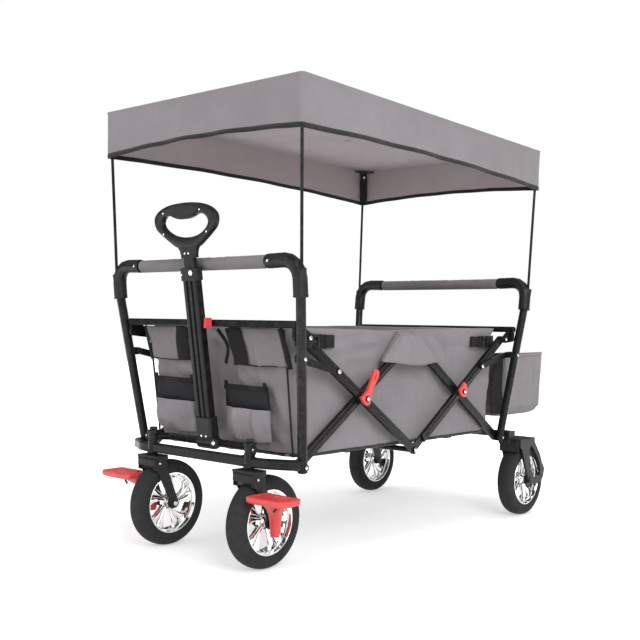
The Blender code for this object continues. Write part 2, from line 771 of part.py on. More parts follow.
def make_push_bars():
    bar_end = push_tube_end()
    bar = x_pin(-PUSH_BAR_Y, PUSH_BAR_Z, -bar_end, bar_end, PUSH_TUBE_RADIUS)
    sleeve_end = ELBOW_END_X - 0.002
    sleeve = x_ring(-PUSH_BAR_Y, PUSH_BAR_Z, -sleeve_end, sleeve_end, PUSH_SLEEVE_RADIUS,
                    PUSH_TUBE_RADIUS + GAP)
    rear_bar, rear_sleeve = reflected(bar, 1), reflected(sleeve, 1)
    finish_node(bar, "push_tube_front", "steel_black", (0.0, -FOOT_Y, HUB_Z))
    finish_node(sleeve, "push_sleeve_front", "fabric_grey", (0.0, -FOOT_Y, HUB_Z))
    finish_node(rear_bar, "push_tube_rear", "steel_black", (0.0, FOOT_Y, HUB_Z))
    finish_node(rear_sleeve, "push_sleeve_rear", "fabric_grey", (0.0, FOOT_Y, HUB_Z))


def make_canopy_rods():
    low, high = rod_line()
    finish_four(rod(low, high, ROD_RADIUS, 8), "canopy_rod", "steel_black", tuple(low))


def canopy_pocket():
    """The front left pocket under the roof that a rod's tip stands in."""
    low, high = rod_line()
    down = (low - high).normalized()
    pocket = rod(high + down * CORNER_POCKET_DEPTH, high - down * 0.004, CORNER_POCKET_RADIUS, 10)
    roof = CANOPY_TOP_Z - CANOPY_CLOTH / 2
    edge = ROD_RADIUS - GAP
    wing = span_box((high.x - CORNER_WING, high.y - edge, roof - 0.022),
                    (high.x + edge, high.y + CORNER_WING, roof))
    bore = rod(low, high + (high - low).normalized() * 0.001, ROD_RADIUS + GAP, 8)
    return cut(union(pocket, wing), bore)


def all_four(front_left):
    """A front left solid and its three mirror images, as separate objects."""
    front_right = reflected(front_left, 0)
    return front_left, front_right, reflected(front_left, 1), reflected(front_right, 1)


# Lower frames

def lower_front_path():
    """Half of the front tube's path: across, out past the sleeve and back to the post."""
    foot = post_point(LOWER_TUBE_Z)
    end_y = foot.y - POST_RADIUS - GAP - POST_LEAN_Y * LOWER_TUBE_HEIGHT / 2 - STEP
    corners = [(0.0, -LOWER_TUBE_Y, LOWER_TUBE_Z), (CASTER_X + 0.038, -LOWER_TUBE_Y, LOWER_TUBE_Z),
               (foot.x - 0.002, end_y - 0.014, LOWER_TUBE_Z), (foot.x, end_y, LOWER_TUBE_Z)]
    return rounded_path(corners, [0.060, 0.016], 4)


def make_lower_front():
    """The front tube with the caster sleeves and the yoke that the pull handle turns on."""
    half = lower_front_path()
    path = [Vector((-point.x, point.y, point.z)) for point in half[:0:-1]] + half
    h, d = LOWER_TUBE_HEIGHT / 2, LOWER_TUBE_DEPTH / 2
    section = [(-d, -h + 0.003), (-d + 0.003, -h), (d - 0.003, -h), (d, -h + 0.003),
               (d, h - 0.003), (d - 0.003, h), (-d + 0.003, h), (-d, h - 0.003)]
    body = tube(path, 0.0, profile=section)
    yoke_end = (CASTER_X, -LOWER_TUBE_Y + 0.004, YOKE_Z)
    yoke_turn = (CASTER_X - 0.030, -YOKE_Y, YOKE_Z)
    corners = [(-yoke_end[0], yoke_end[1], YOKE_Z), (-yoke_turn[0], yoke_turn[1], YOKE_Z),
               yoke_turn, yoke_end]
    yoke = tube(rounded_path(corners, [0.020, 0.020], 3), YOKE_RADIUS, 4)
    body = union(body, yoke)
    for side in (-1, 1):
        sleeve = rod((side * CASTER_X, -LOWER_TUBE_Y, SLEEVE_BOTTOM_Z),
                     (side * CASTER_X, -LOWER_TUBE_Y, SLEEVE_TOP_Z), SLEEVE_RADIUS)
        body = union(body, sleeve)
    for side in (-1, 1):
        bore = rod((side * CASTER_X, -LOWER_TUBE_Y, SLEEVE_BOTTOM_Z - 0.01),
                   (side * CASTER_X, -LOWER_TUBE_Y, SLEEVE_TOP_Z + 0.01), KINGPIN_RADIUS + PIN_PLAY)
        body = cut(body, bore)
    finish_node(body, "lower_frame_front", "steel_black", (0.0, -FOOT_Y, HUB_Z))


def rear_block_low():
    return INNER_LAYER_X + BAR_THICKNESS + 0.001


def make_lower_rear():
    """The rear tube between the wheel brackets, and the brackets with their wheel arms."""
    tube_y = FOOT_Y + BAR_WIDTH / 2 + 0.014
    end_x = rear_block_low() + 0.004
    frame = x_pin(tube_y, LOWER_TUBE_Z, -end_x, end_x, 0.010)
    room = TYRE_WIDTH / 2 + FORK_ROOM
    inner, outer = REAR_WHEEL_X - room, REAR_WHEEL_X + room
    front, back = REAR_WHEEL_Y - 0.072, REAR_WHEEL_Y + 0.028
    post_back = -post_point(LOWER_TUBE_Z + 0.012).y + POST_RADIUS + 0.001
    deck = span_box((inner - FORK_PLATE + STEP, front, 0.2125), (outer + FORK_PLATE, back, 0.2265))
    skirt = span_box((inner - FORK_PLATE + 2 * STEP, front + STEP, FORK_SKIRT_Z),
                     (outer + FORK_PLATE - STEP, front + 0.004, 0.2200))
    block = span_box((rear_block_low(), post_back, 0.2140),
                     (rear_block_low() + 0.034, front + 0.012, 0.2500))
    axle = (REAR_WHEEL_Y, WHEEL_RADIUS)
    arm = hull_of_circles([((front + 0.022, 0.2105), 0.0155), ((front + 0.040, 0.2105), 0.0155),
                           (axle, 0.0125)], 16)
    inner_arm = plate(arm, inner - FORK_PLATE, inner)
    loop_outline = [(front + 0.006, 0.2262), (REAR_WHEEL_Y + 0.012, 0.2262),
                    (REAR_WHEEL_Y + 0.036, 0.1985), (REAR_WHEEL_Y + 0.056, 0.176),
                    (REAR_WHEEL_Y + 0.070, 0.150), (REAR_WHEEL_Y + 0.086, 0.130),
                    (REAR_WHEEL_Y + 0.080, 0.108), (REAR_WHEEL_Y + 0.066, 0.092),
                    (REAR_WHEEL_Y + 0.030, 0.088), (REAR_WHEEL_Y + 0.006, 0.091),
                    (REAR_WHEEL_Y - 0.010, 0.095), (REAR_WHEEL_Y - 0.0145, 0.108),
                    (front + 0.018, 0.196), (front + 0.006, 0.204)]
    window = [(REAR_WHEEL_Y + 0.002, 0.204), (REAR_WHEEL_Y + 0.020, 0.190),
              (REAR_WHEEL_Y + 0.040, 0.170), (REAR_WHEEL_Y + 0.053, 0.148),
              (REAR_WHEEL_Y + 0.060, 0.126), (REAR_WHEEL_Y + 0.056, 0.112),
              (REAR_WHEEL_Y + 0.030, 0.108), (REAR_WHEEL_Y + 0.018, 0.112),
              (REAR_WHEEL_Y + 0.006, 0.130), (REAR_WHEEL_Y - 0.008, 0.170),
              (REAR_WHEEL_Y - 0.010, 0.196)]
    outer_arm = plate(loop_outline, outer, outer + FORK_PLATE * 1.75, "X", [window])
    axle_pin = headed_pin(*axle, inner - FORK_PLATE + 0.0005, outer + FORK_PLATE * 1.75 - 0.0005,
                          AXLE_RADIUS, 0.009)
    bracket = union(deck, skirt, block, inner_arm, outer_arm, axle_pin)
    other = reflected(bracket, 0)
    finish_node(union(frame, bracket, other), "lower_frame_rear", "plastic_grey",
                (0.0, FOOT_Y, HUB_Z))


# Wheels and casters

def make_wheel(side_name, x, y):
    centre = (x, y, WHEEL_RADIUS)
    half = TYRE_WIDTH / 2
    tyre_section = [(-half * 0.86, RIM_RADIUS + GAP), (half * 0.86, RIM_RADIUS + GAP),
                    (half, RIM_RADIUS + 0.010), (half * 0.90, WHEEL_RADIUS - 0.007),
                    (half * 0.50, WHEEL_RADIUS), (-half * 0.50, WHEEL_RADIUS),
                    (-half * 0.90, WHEEL_RADIUS - 0.007), (-half, RIM_RADIUS + 0.010)]
    finish_node(turned(tyre_section, centre), "tyre_" + side_name, "tyre_rubber", centre)
    barrel_half = RIM_WIDTH / 2
    barrel = turned([(-barrel_half, RIM_RADIUS - RIM_WALL), (barrel_half, RIM_RADIUS - RIM_WALL),
                     (barrel_half, RIM_RADIUS), (-barrel_half, RIM_RADIUS)], centre)
    spoke_low, spoke_high = x - 0.007, x + 0.007
    windows = []
    inner_r, outer_r = HUB_RADIUS + 0.007, RIM_RADIUS - RIM_WALL - 0.004
    for index in range(SPOKE_COUNT):
        middle = 2 * math.pi * (index + 0.5) / SPOKE_COUNT
        inner_half = math.pi / SPOKE_COUNT - 0.010 / inner_r
        outer_half = math.pi / SPOKE_COUNT - 0.0075 / outer_r
        rim_side = circle((y, WHEEL_RADIUS), outer_r, 4, middle - outer_half, 2 * outer_half)
        hub_side = circle((y, WHEEL_RADIUS), inner_r, 1, middle + inner_half, -2 * inner_half)
        windows.append(rim_side + hub_side)
    web_radius = RIM_RADIUS - RIM_WALL * 0.5
    web = plate(circle((y, WHEEL_RADIUS), web_radius, WHEEL_SIDES, -math.pi / 2), spoke_low,
                spoke_high, "X", windows)
    hub = x_pin(y, WHEEL_RADIUS, x - half - 0.0015, x + half + 0.0015, HUB_RADIUS, 16)
    bore = x_pin(y, WHEEL_RADIUS, x - half - 0.02, x + half + 0.02, AXLE_RADIUS + PIN_PLAY)
    rim = cut(union(barrel, web, hub), bore)
    finish_node(rim, "rim_" + side_name, "chrome", centre)


def make_caster(side_name, side):
    """A swivelling fork with its kingpin, its axle and the brake pedal beside the wheel."""
    x = side * CASTER_X
    swivel_y = -LOWER_TUBE_Y
    axle = (swivel_y + CASTER_TRAIL, WHEEL_RADIUS)
    room = TYRE_WIDTH / 2 + FORK_ROOM
    front, back = swivel_y - FORK_BOX_HALF, swivel_y + FORK_BOX_HALF
    width = room + FORK_PLATE
    deck = span_box((x - width + STEP, front + STEP, 0.2125),
                    (x + width - STEP, back - STEP, FORK_TOP_Z))
    skirt = span_box((x - width + 2 * STEP, front + 2 * STEP, FORK_SKIRT_Z + STEP),
                     (x + width - 2 * STEP, front + FORK_PLATE, FORK_TOP_Z - 0.002))
    arm_outline = [(front, FORK_TOP_Z - 0.001), (front, FORK_SKIRT_Z),
                   (front + 0.024, FORK_SKIRT_Z - 0.004)]
    arm_outline += circle(axle, 0.012, 6, math.radians(195), math.radians(165))
    arm_outline += [(back, FORK_TOP_Z - 0.022), (back, FORK_TOP_Z - 0.001)]
    arms = [plate(arm_outline, x - room - FORK_PLATE, x - room),
            plate(arm_outline, x + room, x + room + FORK_PLATE)]
    kingpin = rod((x, swivel_y, FORK_TOP_Z - 0.005), (x, swivel_y, SLEEVE_TOP_Z + 0.004),
                  KINGPIN_RADIUS)
    washer = rod((x, swivel_y, FORK_TOP_Z - 0.001), (x, swivel_y, SLEEVE_BOTTOM_Z - 0.001), 0.0115)
    nut = rod((x, swivel_y, SLEEVE_TOP_Z + 0.001), (x, swivel_y, SLEEVE_TOP_Z + 0.008), 0.0095, 6)
    pedal_low = CASTER_X + room + FORK_PLATE + PEDAL_GAP
    pedal_high = pedal_low + PEDAL_STEM_THICKNESS
    inner_end = side * (CASTER_X - room - FORK_PLATE + 0.0005)
    low, high = sorted((inner_end, side * (pedal_high + GAP)))
    axle_pin = headed_pin(*axle, low, high, AXLE_RADIUS, 0.009)
    fork = union(deck, skirt, *arms, kingpin, washer, nut, axle_pin)
    swivel = (x, swivel_y, SLEEVE_BOTTOM_Z)
    finish_node(fork, "caster_fork_" + side_name, "plastic_black", swivel)
    pedal = make_pedal(pedal_low, pedal_high, axle)
    if side < 0:
        pedal = reflected(pedal, 0, keep=False)
    finish_node(pedal, "brake_pedal_" + side_name, "plastic_red", (x, *axle))


def make_pedal(low, high, axle):
    """The left pedal: a stem on the axle's end that carries a wide foot plate."""
    stem_top = PEDAL_PLATE_Z + 0.006
    stem_outline = hull_of_circles([(axle, PEDAL_HUB_RADIUS), ((PEDAL_PLATE_Y + 0.014, stem_top), 0.012),
                                    ((PEDAL_PLATE_Y - 0.006, stem_top), 0.012)], 16)
    stem = plate(stem_outline, low, high, "X", [circle(axle, AXLE_RADIUS + PIN_PLAY)])
    y0 = PEDAL_PLATE_Y - PEDAL_PLATE_WIDTH / 2
    y1 = PEDAL_PLATE_Y + PEDAL_PLATE_WIDTH / 2
    x1 = low + PEDAL_REACH
    foot = plate([(low, y0 + 0.014), (low, y1 - 0.014), (low + 0.012, y1), (x1 - 0.010, y1 - 0.002),
                  (x1, y1 - 0.012), (x1, y0 + 0.012), (x1 - 0.010, y0 + 0.002), (low + 0.012, y0)],
                 PEDAL_PLATE_Z, PEDAL_PLATE_Z + PEDAL_PLATE_HEIGHT, "Z")
    foot = soften(foot, 0.0025)
    web_outline = [(low + 0.001, PEDAL_PLATE_Z - 0.030), (low + 0.001, PEDAL_PLATE_Z + 0.004),
                   (low + 0.046, PEDAL_PLATE_Z + 0.004)]
    web = plate(web_outline, PEDAL_PLATE_Y - 0.004, PEDAL_PLATE_Y + 0.010, "Y")
    return union(foot, stem, web)


# Pull handle

def rail_outline():
    """The outer handle tube's section, with two grooves down its front and back faces."""
    w, d, groove = RAIL_WIDTH / 2, RAIL_DEPTH / 2, 0.0012
    lands = []
    for x in (-w / 3, w / 3):
        lands += [(x - 0.0025, -d), (x - 0.0015, -d + groove),
                  (x + 0.0015, -d + groove), (x + 0.0025, -d)]
    front = [(-w, -d + 0.002), (-w + 0.002, -d), *lands, (w - 0.002, -d), (w, -d + 0.002)]
    back = [(-x, -y) for x, y in front]
    return front + back


def rectangle(half_w, half_d):
    return [(-half_w, -half_d), (half_w, -half_d), (half_w, half_d), (-half_w, half_d)]


def chamfered(half_w, half_d, edge):
    return [(-half_w, -half_d + edge), (-half_w + edge, -half_d), (half_w - edge, -half_d),
            (half_w, -half_d + edge), (half_w, half_d - edge), (half_w - edge, half_d),
            (-half_w + edge, half_d), (-half_w, half_d - edge)]


def make_pull_handle():
    pivot = (0.0, -YOKE_Y, YOKE_Z)
    bore = rectangle(RAIL_WIDTH / 2 - RAIL_WALL, RAIL_DEPTH / 2 - RAIL_WALL)
    rail = plate(rail_outline(), RAIL_BOTTOM_U, RAIL_TOP_U, "Z", [bore])
    finish_node(to_handle(rail), "handle_rail", "steel_black", pivot)

    foot_half, foot_depth = FOOT_WIDTH / 2, RAIL_DEPTH / 2 + 0.004
    shell = plate(chamfered(foot_half, foot_depth, 0.004), RAIL_BOTTOM_U - 0.006, FOOT_TOP_U, "Z",
                  [rectangle(RAIL_WIDTH / 2 + GAP, RAIL_DEPTH / 2 + GAP)])
    floor = plate(chamfered(foot_half, foot_depth, 0.004), RAIL_BOTTOM_U - 0.009,
                  RAIL_BOTTOM_U - GAP, "Z")
    ring = x_pin(0.0, 0.0, -foot_half, foot_half, HUB_RING_RADIUS, 16)
    foot = union(shell, floor, ring)
    clearance = x_pin(0.0, 0.0, -foot_half - 0.01, foot_half + 0.01, YOKE_RADIUS + PIN_PLAY + 0.0004, 16)
    foot = cut(foot, clearance)
    finish_node(to_handle(foot), "handle_foot", "plastic_black", pivot)

    half_w, half_d = COLLAR_WIDTH / 2, COLLAR_DEPTH / 2
    collar = plate(chamfered(half_w, half_d, 0.005), COLLAR_BOTTOM_U, COLLAR_TOP_U, "Z",
                   [rectangle(INNER_TUBE_WIDTH / 2 + PIN_PLAY, INNER_TUBE_DEPTH / 2 + PIN_PLAY)])
    seat = plate(rectangle(RAIL_WIDTH / 2 + GAP, RAIL_DEPTH / 2 + GAP), COLLAR_BOTTOM_U - 0.01,
                 RAIL_TOP_U + GAP, "Z")
    collar = cut(collar, seat)
    button_u = (RAIL_TOP_U + COLLAR_TOP_U) / 2
    button_face = -half_d
    button_well = rod((BUTTON_X, button_face - 0.01, button_u),
                      (BUTTON_X, -INNER_TUBE_DEPTH / 2 - 0.002, button_u), BUTTON_RADIUS + PIN_PLAY)
    collar = cut(collar, button_well)
    finish_node(to_handle(collar), "handle_collar", "plastic_black", pivot)
    stem_end = button_face + 0.0012
    button = rod((BUTTON_X, button_face - 0.003, button_u), (BUTTON_X, stem_end, button_u), BUTTON_RADIUS)
    finish_node(to_handle(button), "handle_button", "rivet_steel",
                (BUTTON_X, *on_handle(button_u, button_face)))

    inner = plate(chamfered(INNER_TUBE_WIDTH / 2, INNER_TUBE_DEPTH / 2, 0.002),
                  INNER_TUBE_BOTTOM_U, GRIP_NECK_U + 0.022, "Z")
    finish_node(to_handle(inner), "handle_inner_tube", "steel_black", (0.0, *on_handle(GRIP_NECK_U)))
    finish_node(to_handle(make_grip()), "handle_grip", "plastic_black", (0.0, *on_handle(GRIP_NECK_U)))


def make_grip():
    """The D-shaped grip: a wide loop that narrows to a neck round the inner tube."""
    top, w = GRIP_TOP_U, GRIP_HALF_WIDTH
    right = [(0.0, top), (0.046, top - 0.003), (0.080, top - 0.0125), (w - 0.004, top - 0.0265),
             (w, top - 0.040), (w - 0.0045, top - 0.0545), (w - 0.016, top - 0.066), (0.0625, top - 0.084),
             (0.040, top - 0.098), (0.030, top - 0.109), (0.025, GRIP_NECK_U)]
    outline = right[::-1] + [(-x, u) for x, u in right[1:]]
    hole_right = [(0.0, top - 0.031), (0.034, top - 0.0285), (0.059, top - 0.028), (0.072, top - 0.035),
                  (0.077, top - 0.0455), (0.072, top - 0.0555), (0.060, top - 0.065), (0.042, top - 0.073),
                  (0.020, top - 0.0775), (0.0, top - 0.0785)]
    hole = hole_right + [(-x, u) for x, u in hole_right[-2:0:-1]]
    grip = plate(outline, -GRIP_DEPTH / 2, GRIP_DEPTH / 2, "Y", [hole])
    grip = soften(grip, 0.005)
    socket = plate(rectangle(INNER_TUBE_WIDTH / 2 + GAP, INNER_TUBE_DEPTH / 2 + GAP),
                   GRIP_NECK_U - 0.01, GRIP_NECK_U + 0.022 + GAP, "Z")
    return cut(grip, socket)


def make_handle_clip():
    """The red clip on the upper crossbar that holds the pull handle upright."""
    z_mid = CROSSBAR_TOP_Z - CROSSBAR_HEIGHT / 2
    y_face = -CROSSBAR_Y - CROSSBAR_DEPTH / 2 - GAP
    handle_y = on_handle((z_mid - YOKE_Z) / math.cos(HANDLE_LEAN))[0]
    back_room = handle_y + RAIL_DEPTH / 2 + 0.003
    back_plate = (back_room + y_face) / 2
    inside = RAIL_WIDTH / 2 + 0.0022
    outside = inside + 0.0065
    prong_y = handle_y - 0.001
    block = RAIL_WIDTH / 3
    outline = [(-block, y_face), (-block, back_plate), (-outside, back_plate), (-outside, prong_y),
               (-inside, prong_y), (-inside, back_room), (inside, back_room), (inside, prong_y),
               (outside, prong_y), (outside, back_plate), (block, back_plate), (block, y_face)]
    clip = plate(outline, z_mid - 0.012, z_mid + 0.012, "Z")
    finish_node(clip, "handle_clip", "plastic_red", (0.0, -FOOT_Y, HUB_Z))


# Cloth pieces

def rounded_rectangle(half_x, half_y, corner, arc_steps=3, side_steps=4):
    """A ring of points round a rectangle with round corners, the same number at any size."""
    ring = []
    for turn in range(4):
        start = turn * math.pi / 2
        sign_x = 1 if turn in (0, 3) else -1
        sign_y = 1 if turn in (0, 1) else -1
        centre = (sign_x * (half_x - corner), sign_y * (half_y - corner))
        ring += circle(centre, corner, arc_steps, start, math.pi / 2)
    full = []
    for k, point in enumerate(ring):
        full.append(point)
        if (k + 1) % (arc_steps + 1) == 0:
            after = ring[(k + 1) % len(ring)]
            for step in range(1, side_steps):
                t = step / side_steps
                full.append((point[0] + (after[0] - point[0]) * t, point[1] + (after[1] - point[1]) * t))
    return full


def make_tub():
    """The open cloth tub: leaning ends, and long sides that draw in a little at mid height."""
    levels = [0.0, 0.04, 0.25, 0.5, 0.75, 0.94, 1.0]
    rings = []
    for level in levels:
        z = TUB_BOTTOM_Z + (TUB_TOP_Z - TUB_BOTTOM_Z) * level
        half_y = TUB_HALF_Y_BOTTOM + (TUB_HALF_Y_TOP - TUB_HALF_Y_BOTTOM) * level
        edge = 0.006 if level == 0.0 else 0.0
        draw_in = TUB_SIDE_SAG * math.sin(math.pi * level)
        ring = []
        for x, y in rounded_rectangle(TUB_HALF_X - edge, half_y - edge, TUB_CORNER):
            along = max(0.0, 1.0 - (y / half_y) ** 2)
            side = max(0.0, 1.0 - (x / TUB_HALF_X) ** 2)
            ring.append((x * (1 - draw_in * along / TUB_HALF_X), y * (1 - draw_in * side / half_y), z))
        rings.append(ring)
    tub = lofted(rings, close_end=False)
    tidy_open_skin(tub)
    tub = thicken(tub, TUB_CLOTH)
    flap = hinge_flap()
    tub = union(tub, flap, reflected(flap, 0), *all_four(corner_buckle()))
    finish_node(tub, "tub", "fabric_grey")


def tidy_open_skin(item):
    """Make an open skin's faces point away from the middle of the wagon."""
    bm = bmesh.new()
    bm.from_mesh(item.data)
    bmesh.ops.recalc_face_normals(bm, faces=bm.faces)
    middle = sum((v.co for v in bm.verts), Vector()) / len(bm.verts)
    outward = sum(f.normal.dot(f.calc_center_median() - middle) * f.calc_area() for f in bm.faces)
    if outward < 0:
        bmesh.ops.reverse_faces(bm, faces=bm.faces)
    bm.to_mesh(item.data)
    bm.free()


def hinge_flap():
    """The left cloth flap that hangs from the tub's rim over the upper pivot."""
    columns, rows = 7, 4
    top_z = TOP_Z + BAR_WIDTH / 2 + 0.006
    bm = bmesh.new()
    grid = []
    for column in range(columns + 1):
        across = 2 * column / columns - 1
        fold = 0.003 * math.cos(3 * math.pi * across)
        hem = (TUB_HALF_X - 0.002, FLAP_CENTRE_Y + across * FLAP_TOP_HALF, top_z + 0.001)
        line = [bm.verts.new(hem)]
        for row in range(rows + 1):
            down = row / rows
            half = FLAP_TOP_HALF + (FLAP_BOTTOM_HALF - FLAP_TOP_HALF) * down
            sag = 0.007 * (1 - across * across) * down
            z = top_z + (FLAP_BOTTOM_Z - top_z) * down - sag
            x = FLAP_X + 0.004 + (0.002 + fold) * down
            if row == 0:
                x -= 0.004
            line.append(bm.verts.new((x, FLAP_CENTRE_Y + across * half, z)))
        grid.append(line)
    for here, there in zip(grid, grid[1:]):
        for k in range(len(here) - 1):
            bm.faces.new((here[k], here[k + 1], there[k + 1], there[k]))
    return thicken(object_from_bmesh(bm), FLAP_CLOTH, 0.0)


def valance_leans():
    """How far the valance leans in by its lower corners, always staying outside the rods."""
    low, high = rod_line()
    beside = low.lerp(high, (VALANCE_CORNER_Z - low.z) / (high.z - low.z))
    room = ROD_RADIUS + CANOPY_CLOTH + ROD_VALANCE_GAP
    return (min(VALANCE_LEAN, CANOPY_HALF_X - beside.x - room),
            min(VALANCE_LEAN, CANOPY_HALF_Y + beside.y - room))


def make_canopy():
    """The roof: a sagging top and a hanging valance whose lower edge arches between corners."""
    columns, rows, drops = 6, 10, 2
    lean_x, lean_y = valance_leans()
    bm = bmesh.new()

    def top_z(u, v):
        return CANOPY_TOP_Z - CANOPY_SAG * (1 - u * u) * (1 - v * v)

    top = {}
    for i in range(columns + 1):
        for j in range(rows + 1):
            u, v = 2 * i / columns - 1, 2 * j / rows - 1
            top[i, j] = bm.verts.new((u * CANOPY_HALF_X, v * CANOPY_HALF_Y, top_z(u, v)))
    for i in range(columns):
        for j in range(rows):
            bm.faces.new((top[i, j], top[i + 1, j], top[i + 1, j + 1], top[i, j + 1]))
    edge = [(i, 0) for i in range(columns)] + [(columns, j) for j in range(rows)]
    edge += [(i, rows) for i in range(columns, 0, -1)] + [(0, j) for j in range(rows, 0, -1)]
    previous = [top[key] for key in edge]
    for drop in range(1, drops + 1):
        down = drop / drops
        ring = []
        for i, j in edge:
            u, v = 2 * i / columns - 1, 2 * j / rows - 1
            on_side = abs(u) == 1.0
            along = v if on_side else u
            arch = VALANCE_ARCH * (1 - along * along)
            wave = 0.0025 * abs(math.sin(5 * math.pi * along)) * down * (1 - along ** 4)
            x, y = u * CANOPY_HALF_X, v * CANOPY_HALF_Y
            z = CANOPY_TOP_Z + (VALANCE_CORNER_Z + arch - CANOPY_TOP_Z) * down
            if on_side:
                x = u * (CANOPY_HALF_X - lean_x * down + wave)
            if abs(v) == 1.0:
                y = v * (CANOPY_HALF_Y - lean_y * down + wave)
            ring.append(bm.verts.new((x, y, z)))
        for k in range(len(edge)):
            n = (k + 1) % len(edge)
            bm.faces.new((previous[k], previous[n], ring[n], ring[k]))
        previous = ring
    canopy = object_from_bmesh(bm)
    tidy_open_skin(canopy)
    canopy = thicken(canopy, CANOPY_CLOTH)
    canopy = union(canopy, *all_four(canopy_pocket()))
    finish_node(canopy, "canopy", "fabric_grey")


def corner_buckle():
    """A side-release buckle and its webbing, sewn to the tub's side near its front corner."""
    x0 = TUB_HALF_X - 0.0015
    body = span_box((x0, -BUCKLE_Y - BUCKLE_SIZE.y / 2, BUCKLE_Z - BUCKLE_SIZE.z / 2),
                    (x0 + BUCKLE_SIZE.x, -BUCKLE_Y + BUCKLE_SIZE.y / 2, BUCKLE_Z + BUCKLE_SIZE.z / 2))
    body = soften(body, 0.003)
    strap_y = -BUCKLE_Y + BUCKLE_SIZE.y / 2 - 0.004
    webbing = span_box((x0, strap_y, BUCKLE_Z - WEBBING_SIZE.z / 2),
                       (x0 + 0.0015 + WEBBING_SIZE.x, strap_y + WEBBING_SIZE.y,
                        BUCKLE_Z + WEBBING_SIZE.z / 2))
    return union(body, webbing)


def make_rear_bag():
    """The storage bag behind the rear frame, open at the top, with its two hanging straps."""
    bag = span_box((-BAG_HALF_X, BAG_FRONT_Y, BAG_BOTTOM_Z), (BAG_HALF_X, BAG_REAR_Y, BAG_TOP_Z))
    bag = soften(bag, BAG_EDGE, 3)
    inside = span_box((BAG_CLOTH - BAG_HALF_X, BAG_FRONT_Y + BAG_CLOTH, BAG_BOTTOM_Z + BAG_CLOTH),
                      (BAG_HALF_X - BAG_CLOTH, BAG_REAR_Y - BAG_CLOTH, BAG_TOP_Z - BAG_CLOTH))
    inside = soften(inside, BAG_EDGE - BAG_CLOTH, 3)
    mouth_y = BAG_FRONT_Y + BAG_EDGE + 0.010
    mouth = span_box((BAG_EDGE + 0.010 - BAG_HALF_X, mouth_y, BAG_TOP_Z - 0.020),
                     (BAG_HALF_X - BAG_EDGE - 0.010, mouth_y + BAG_MOUTH_WIDTH, BAG_TOP_Z + 0.010))
    bag = cut(bag, union(inside, mouth))
    strap_y = CROSSBAR_Y + CROSSBAR_DEPTH / 2 + GAP
    for side in (-1, 1):
        x0, x1 = side * BAG_STRAP_X - BAG_STRAP_WIDTH / 2, side * BAG_STRAP_X + BAG_STRAP_WIDTH / 2
        hang = span_box((x0, strap_y, BAG_TOP_Z - 0.040),
                        (x1, strap_y + BAG_STRAP_THICKNESS, BAG_STRAP_TOP_Z))
        foot = span_box((x0, strap_y, BAG_TOP_Z - 0.042), (x1, BAG_FRONT_Y + 0.004, BAG_TOP_Z - 0.030))
        bag = union(bag, union(hang, foot))
    finish_node(bag, "rear_bag", "fabric_grey", (0.0, FOOT_Y, HUB_Z))


def centre_on_floor():
    """Move the wagon along Y, so that the origin is under the middle of its box."""
    bpy.context.view_layer.update()
    ends = []
    for item in PARTS.objects:
        if item.type == "MESH":
            ends += [(item.matrix_world @ vertex.co).y for vertex in item.data.vertices]
    BASE.location.y = -(min(ends) + max(ends)) / 2
    bpy.context.view_layer.update()


clear_scene()
PARTS = make_collection("folding_wagon")
CUTTERS = make_collection("guides")
BASE = bpy.data.objects.new("wagon_base", None)
PARTS.objects.link(BASE)

make_centre_tube()
make_folding_bars()
make_latches()
make_stays()
make_posts()
make_upper_crossbars()
make_elbows()
make_push_bars()
make_canopy_rods()
make_lower_front()
make_lower_rear()
for wheel_name, wheel_x, wheel_y in (
        ("front_left", CASTER_X, -LOWER_TUBE_Y + CASTER_TRAIL),
        ("front_right", -CASTER_X, -LOWER_TUBE_Y + CASTER_TRAIL),
        ("rear_left", REAR_WHEEL_X, REAR_WHEEL_Y),
        ("rear_right", -REAR_WHEEL_X, REAR_WHEEL_Y)):
    make_wheel(wheel_name, wheel_x, wheel_y)
make_caster("left", 1)
make_caster("right", -1)
make_pull_handle()
make_handle_clip()
make_tub()
make_canopy()
make_rear_bag()
centre_on_floor()
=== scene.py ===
"""Finishes, cloth and small parts of a folding wagon with a canopy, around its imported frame."""

import math

import bmesh
import bpy
from mathutils import Matrix, Vector, noise


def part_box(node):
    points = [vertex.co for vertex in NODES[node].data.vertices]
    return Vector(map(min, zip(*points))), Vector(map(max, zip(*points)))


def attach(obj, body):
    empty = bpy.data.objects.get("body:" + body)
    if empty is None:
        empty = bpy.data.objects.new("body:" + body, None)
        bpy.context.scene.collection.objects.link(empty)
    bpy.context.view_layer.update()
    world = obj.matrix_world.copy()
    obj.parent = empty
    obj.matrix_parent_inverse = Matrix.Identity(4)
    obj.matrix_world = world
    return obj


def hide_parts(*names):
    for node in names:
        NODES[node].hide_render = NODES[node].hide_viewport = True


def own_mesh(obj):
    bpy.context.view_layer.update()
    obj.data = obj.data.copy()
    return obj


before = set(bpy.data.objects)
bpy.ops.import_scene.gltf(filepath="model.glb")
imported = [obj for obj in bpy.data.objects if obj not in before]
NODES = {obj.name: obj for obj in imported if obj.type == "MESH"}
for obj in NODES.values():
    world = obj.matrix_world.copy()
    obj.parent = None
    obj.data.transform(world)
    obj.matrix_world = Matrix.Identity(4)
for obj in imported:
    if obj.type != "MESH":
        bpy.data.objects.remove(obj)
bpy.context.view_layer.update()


def middle_of(node):
    low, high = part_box(node)
    return (low + high) / 2


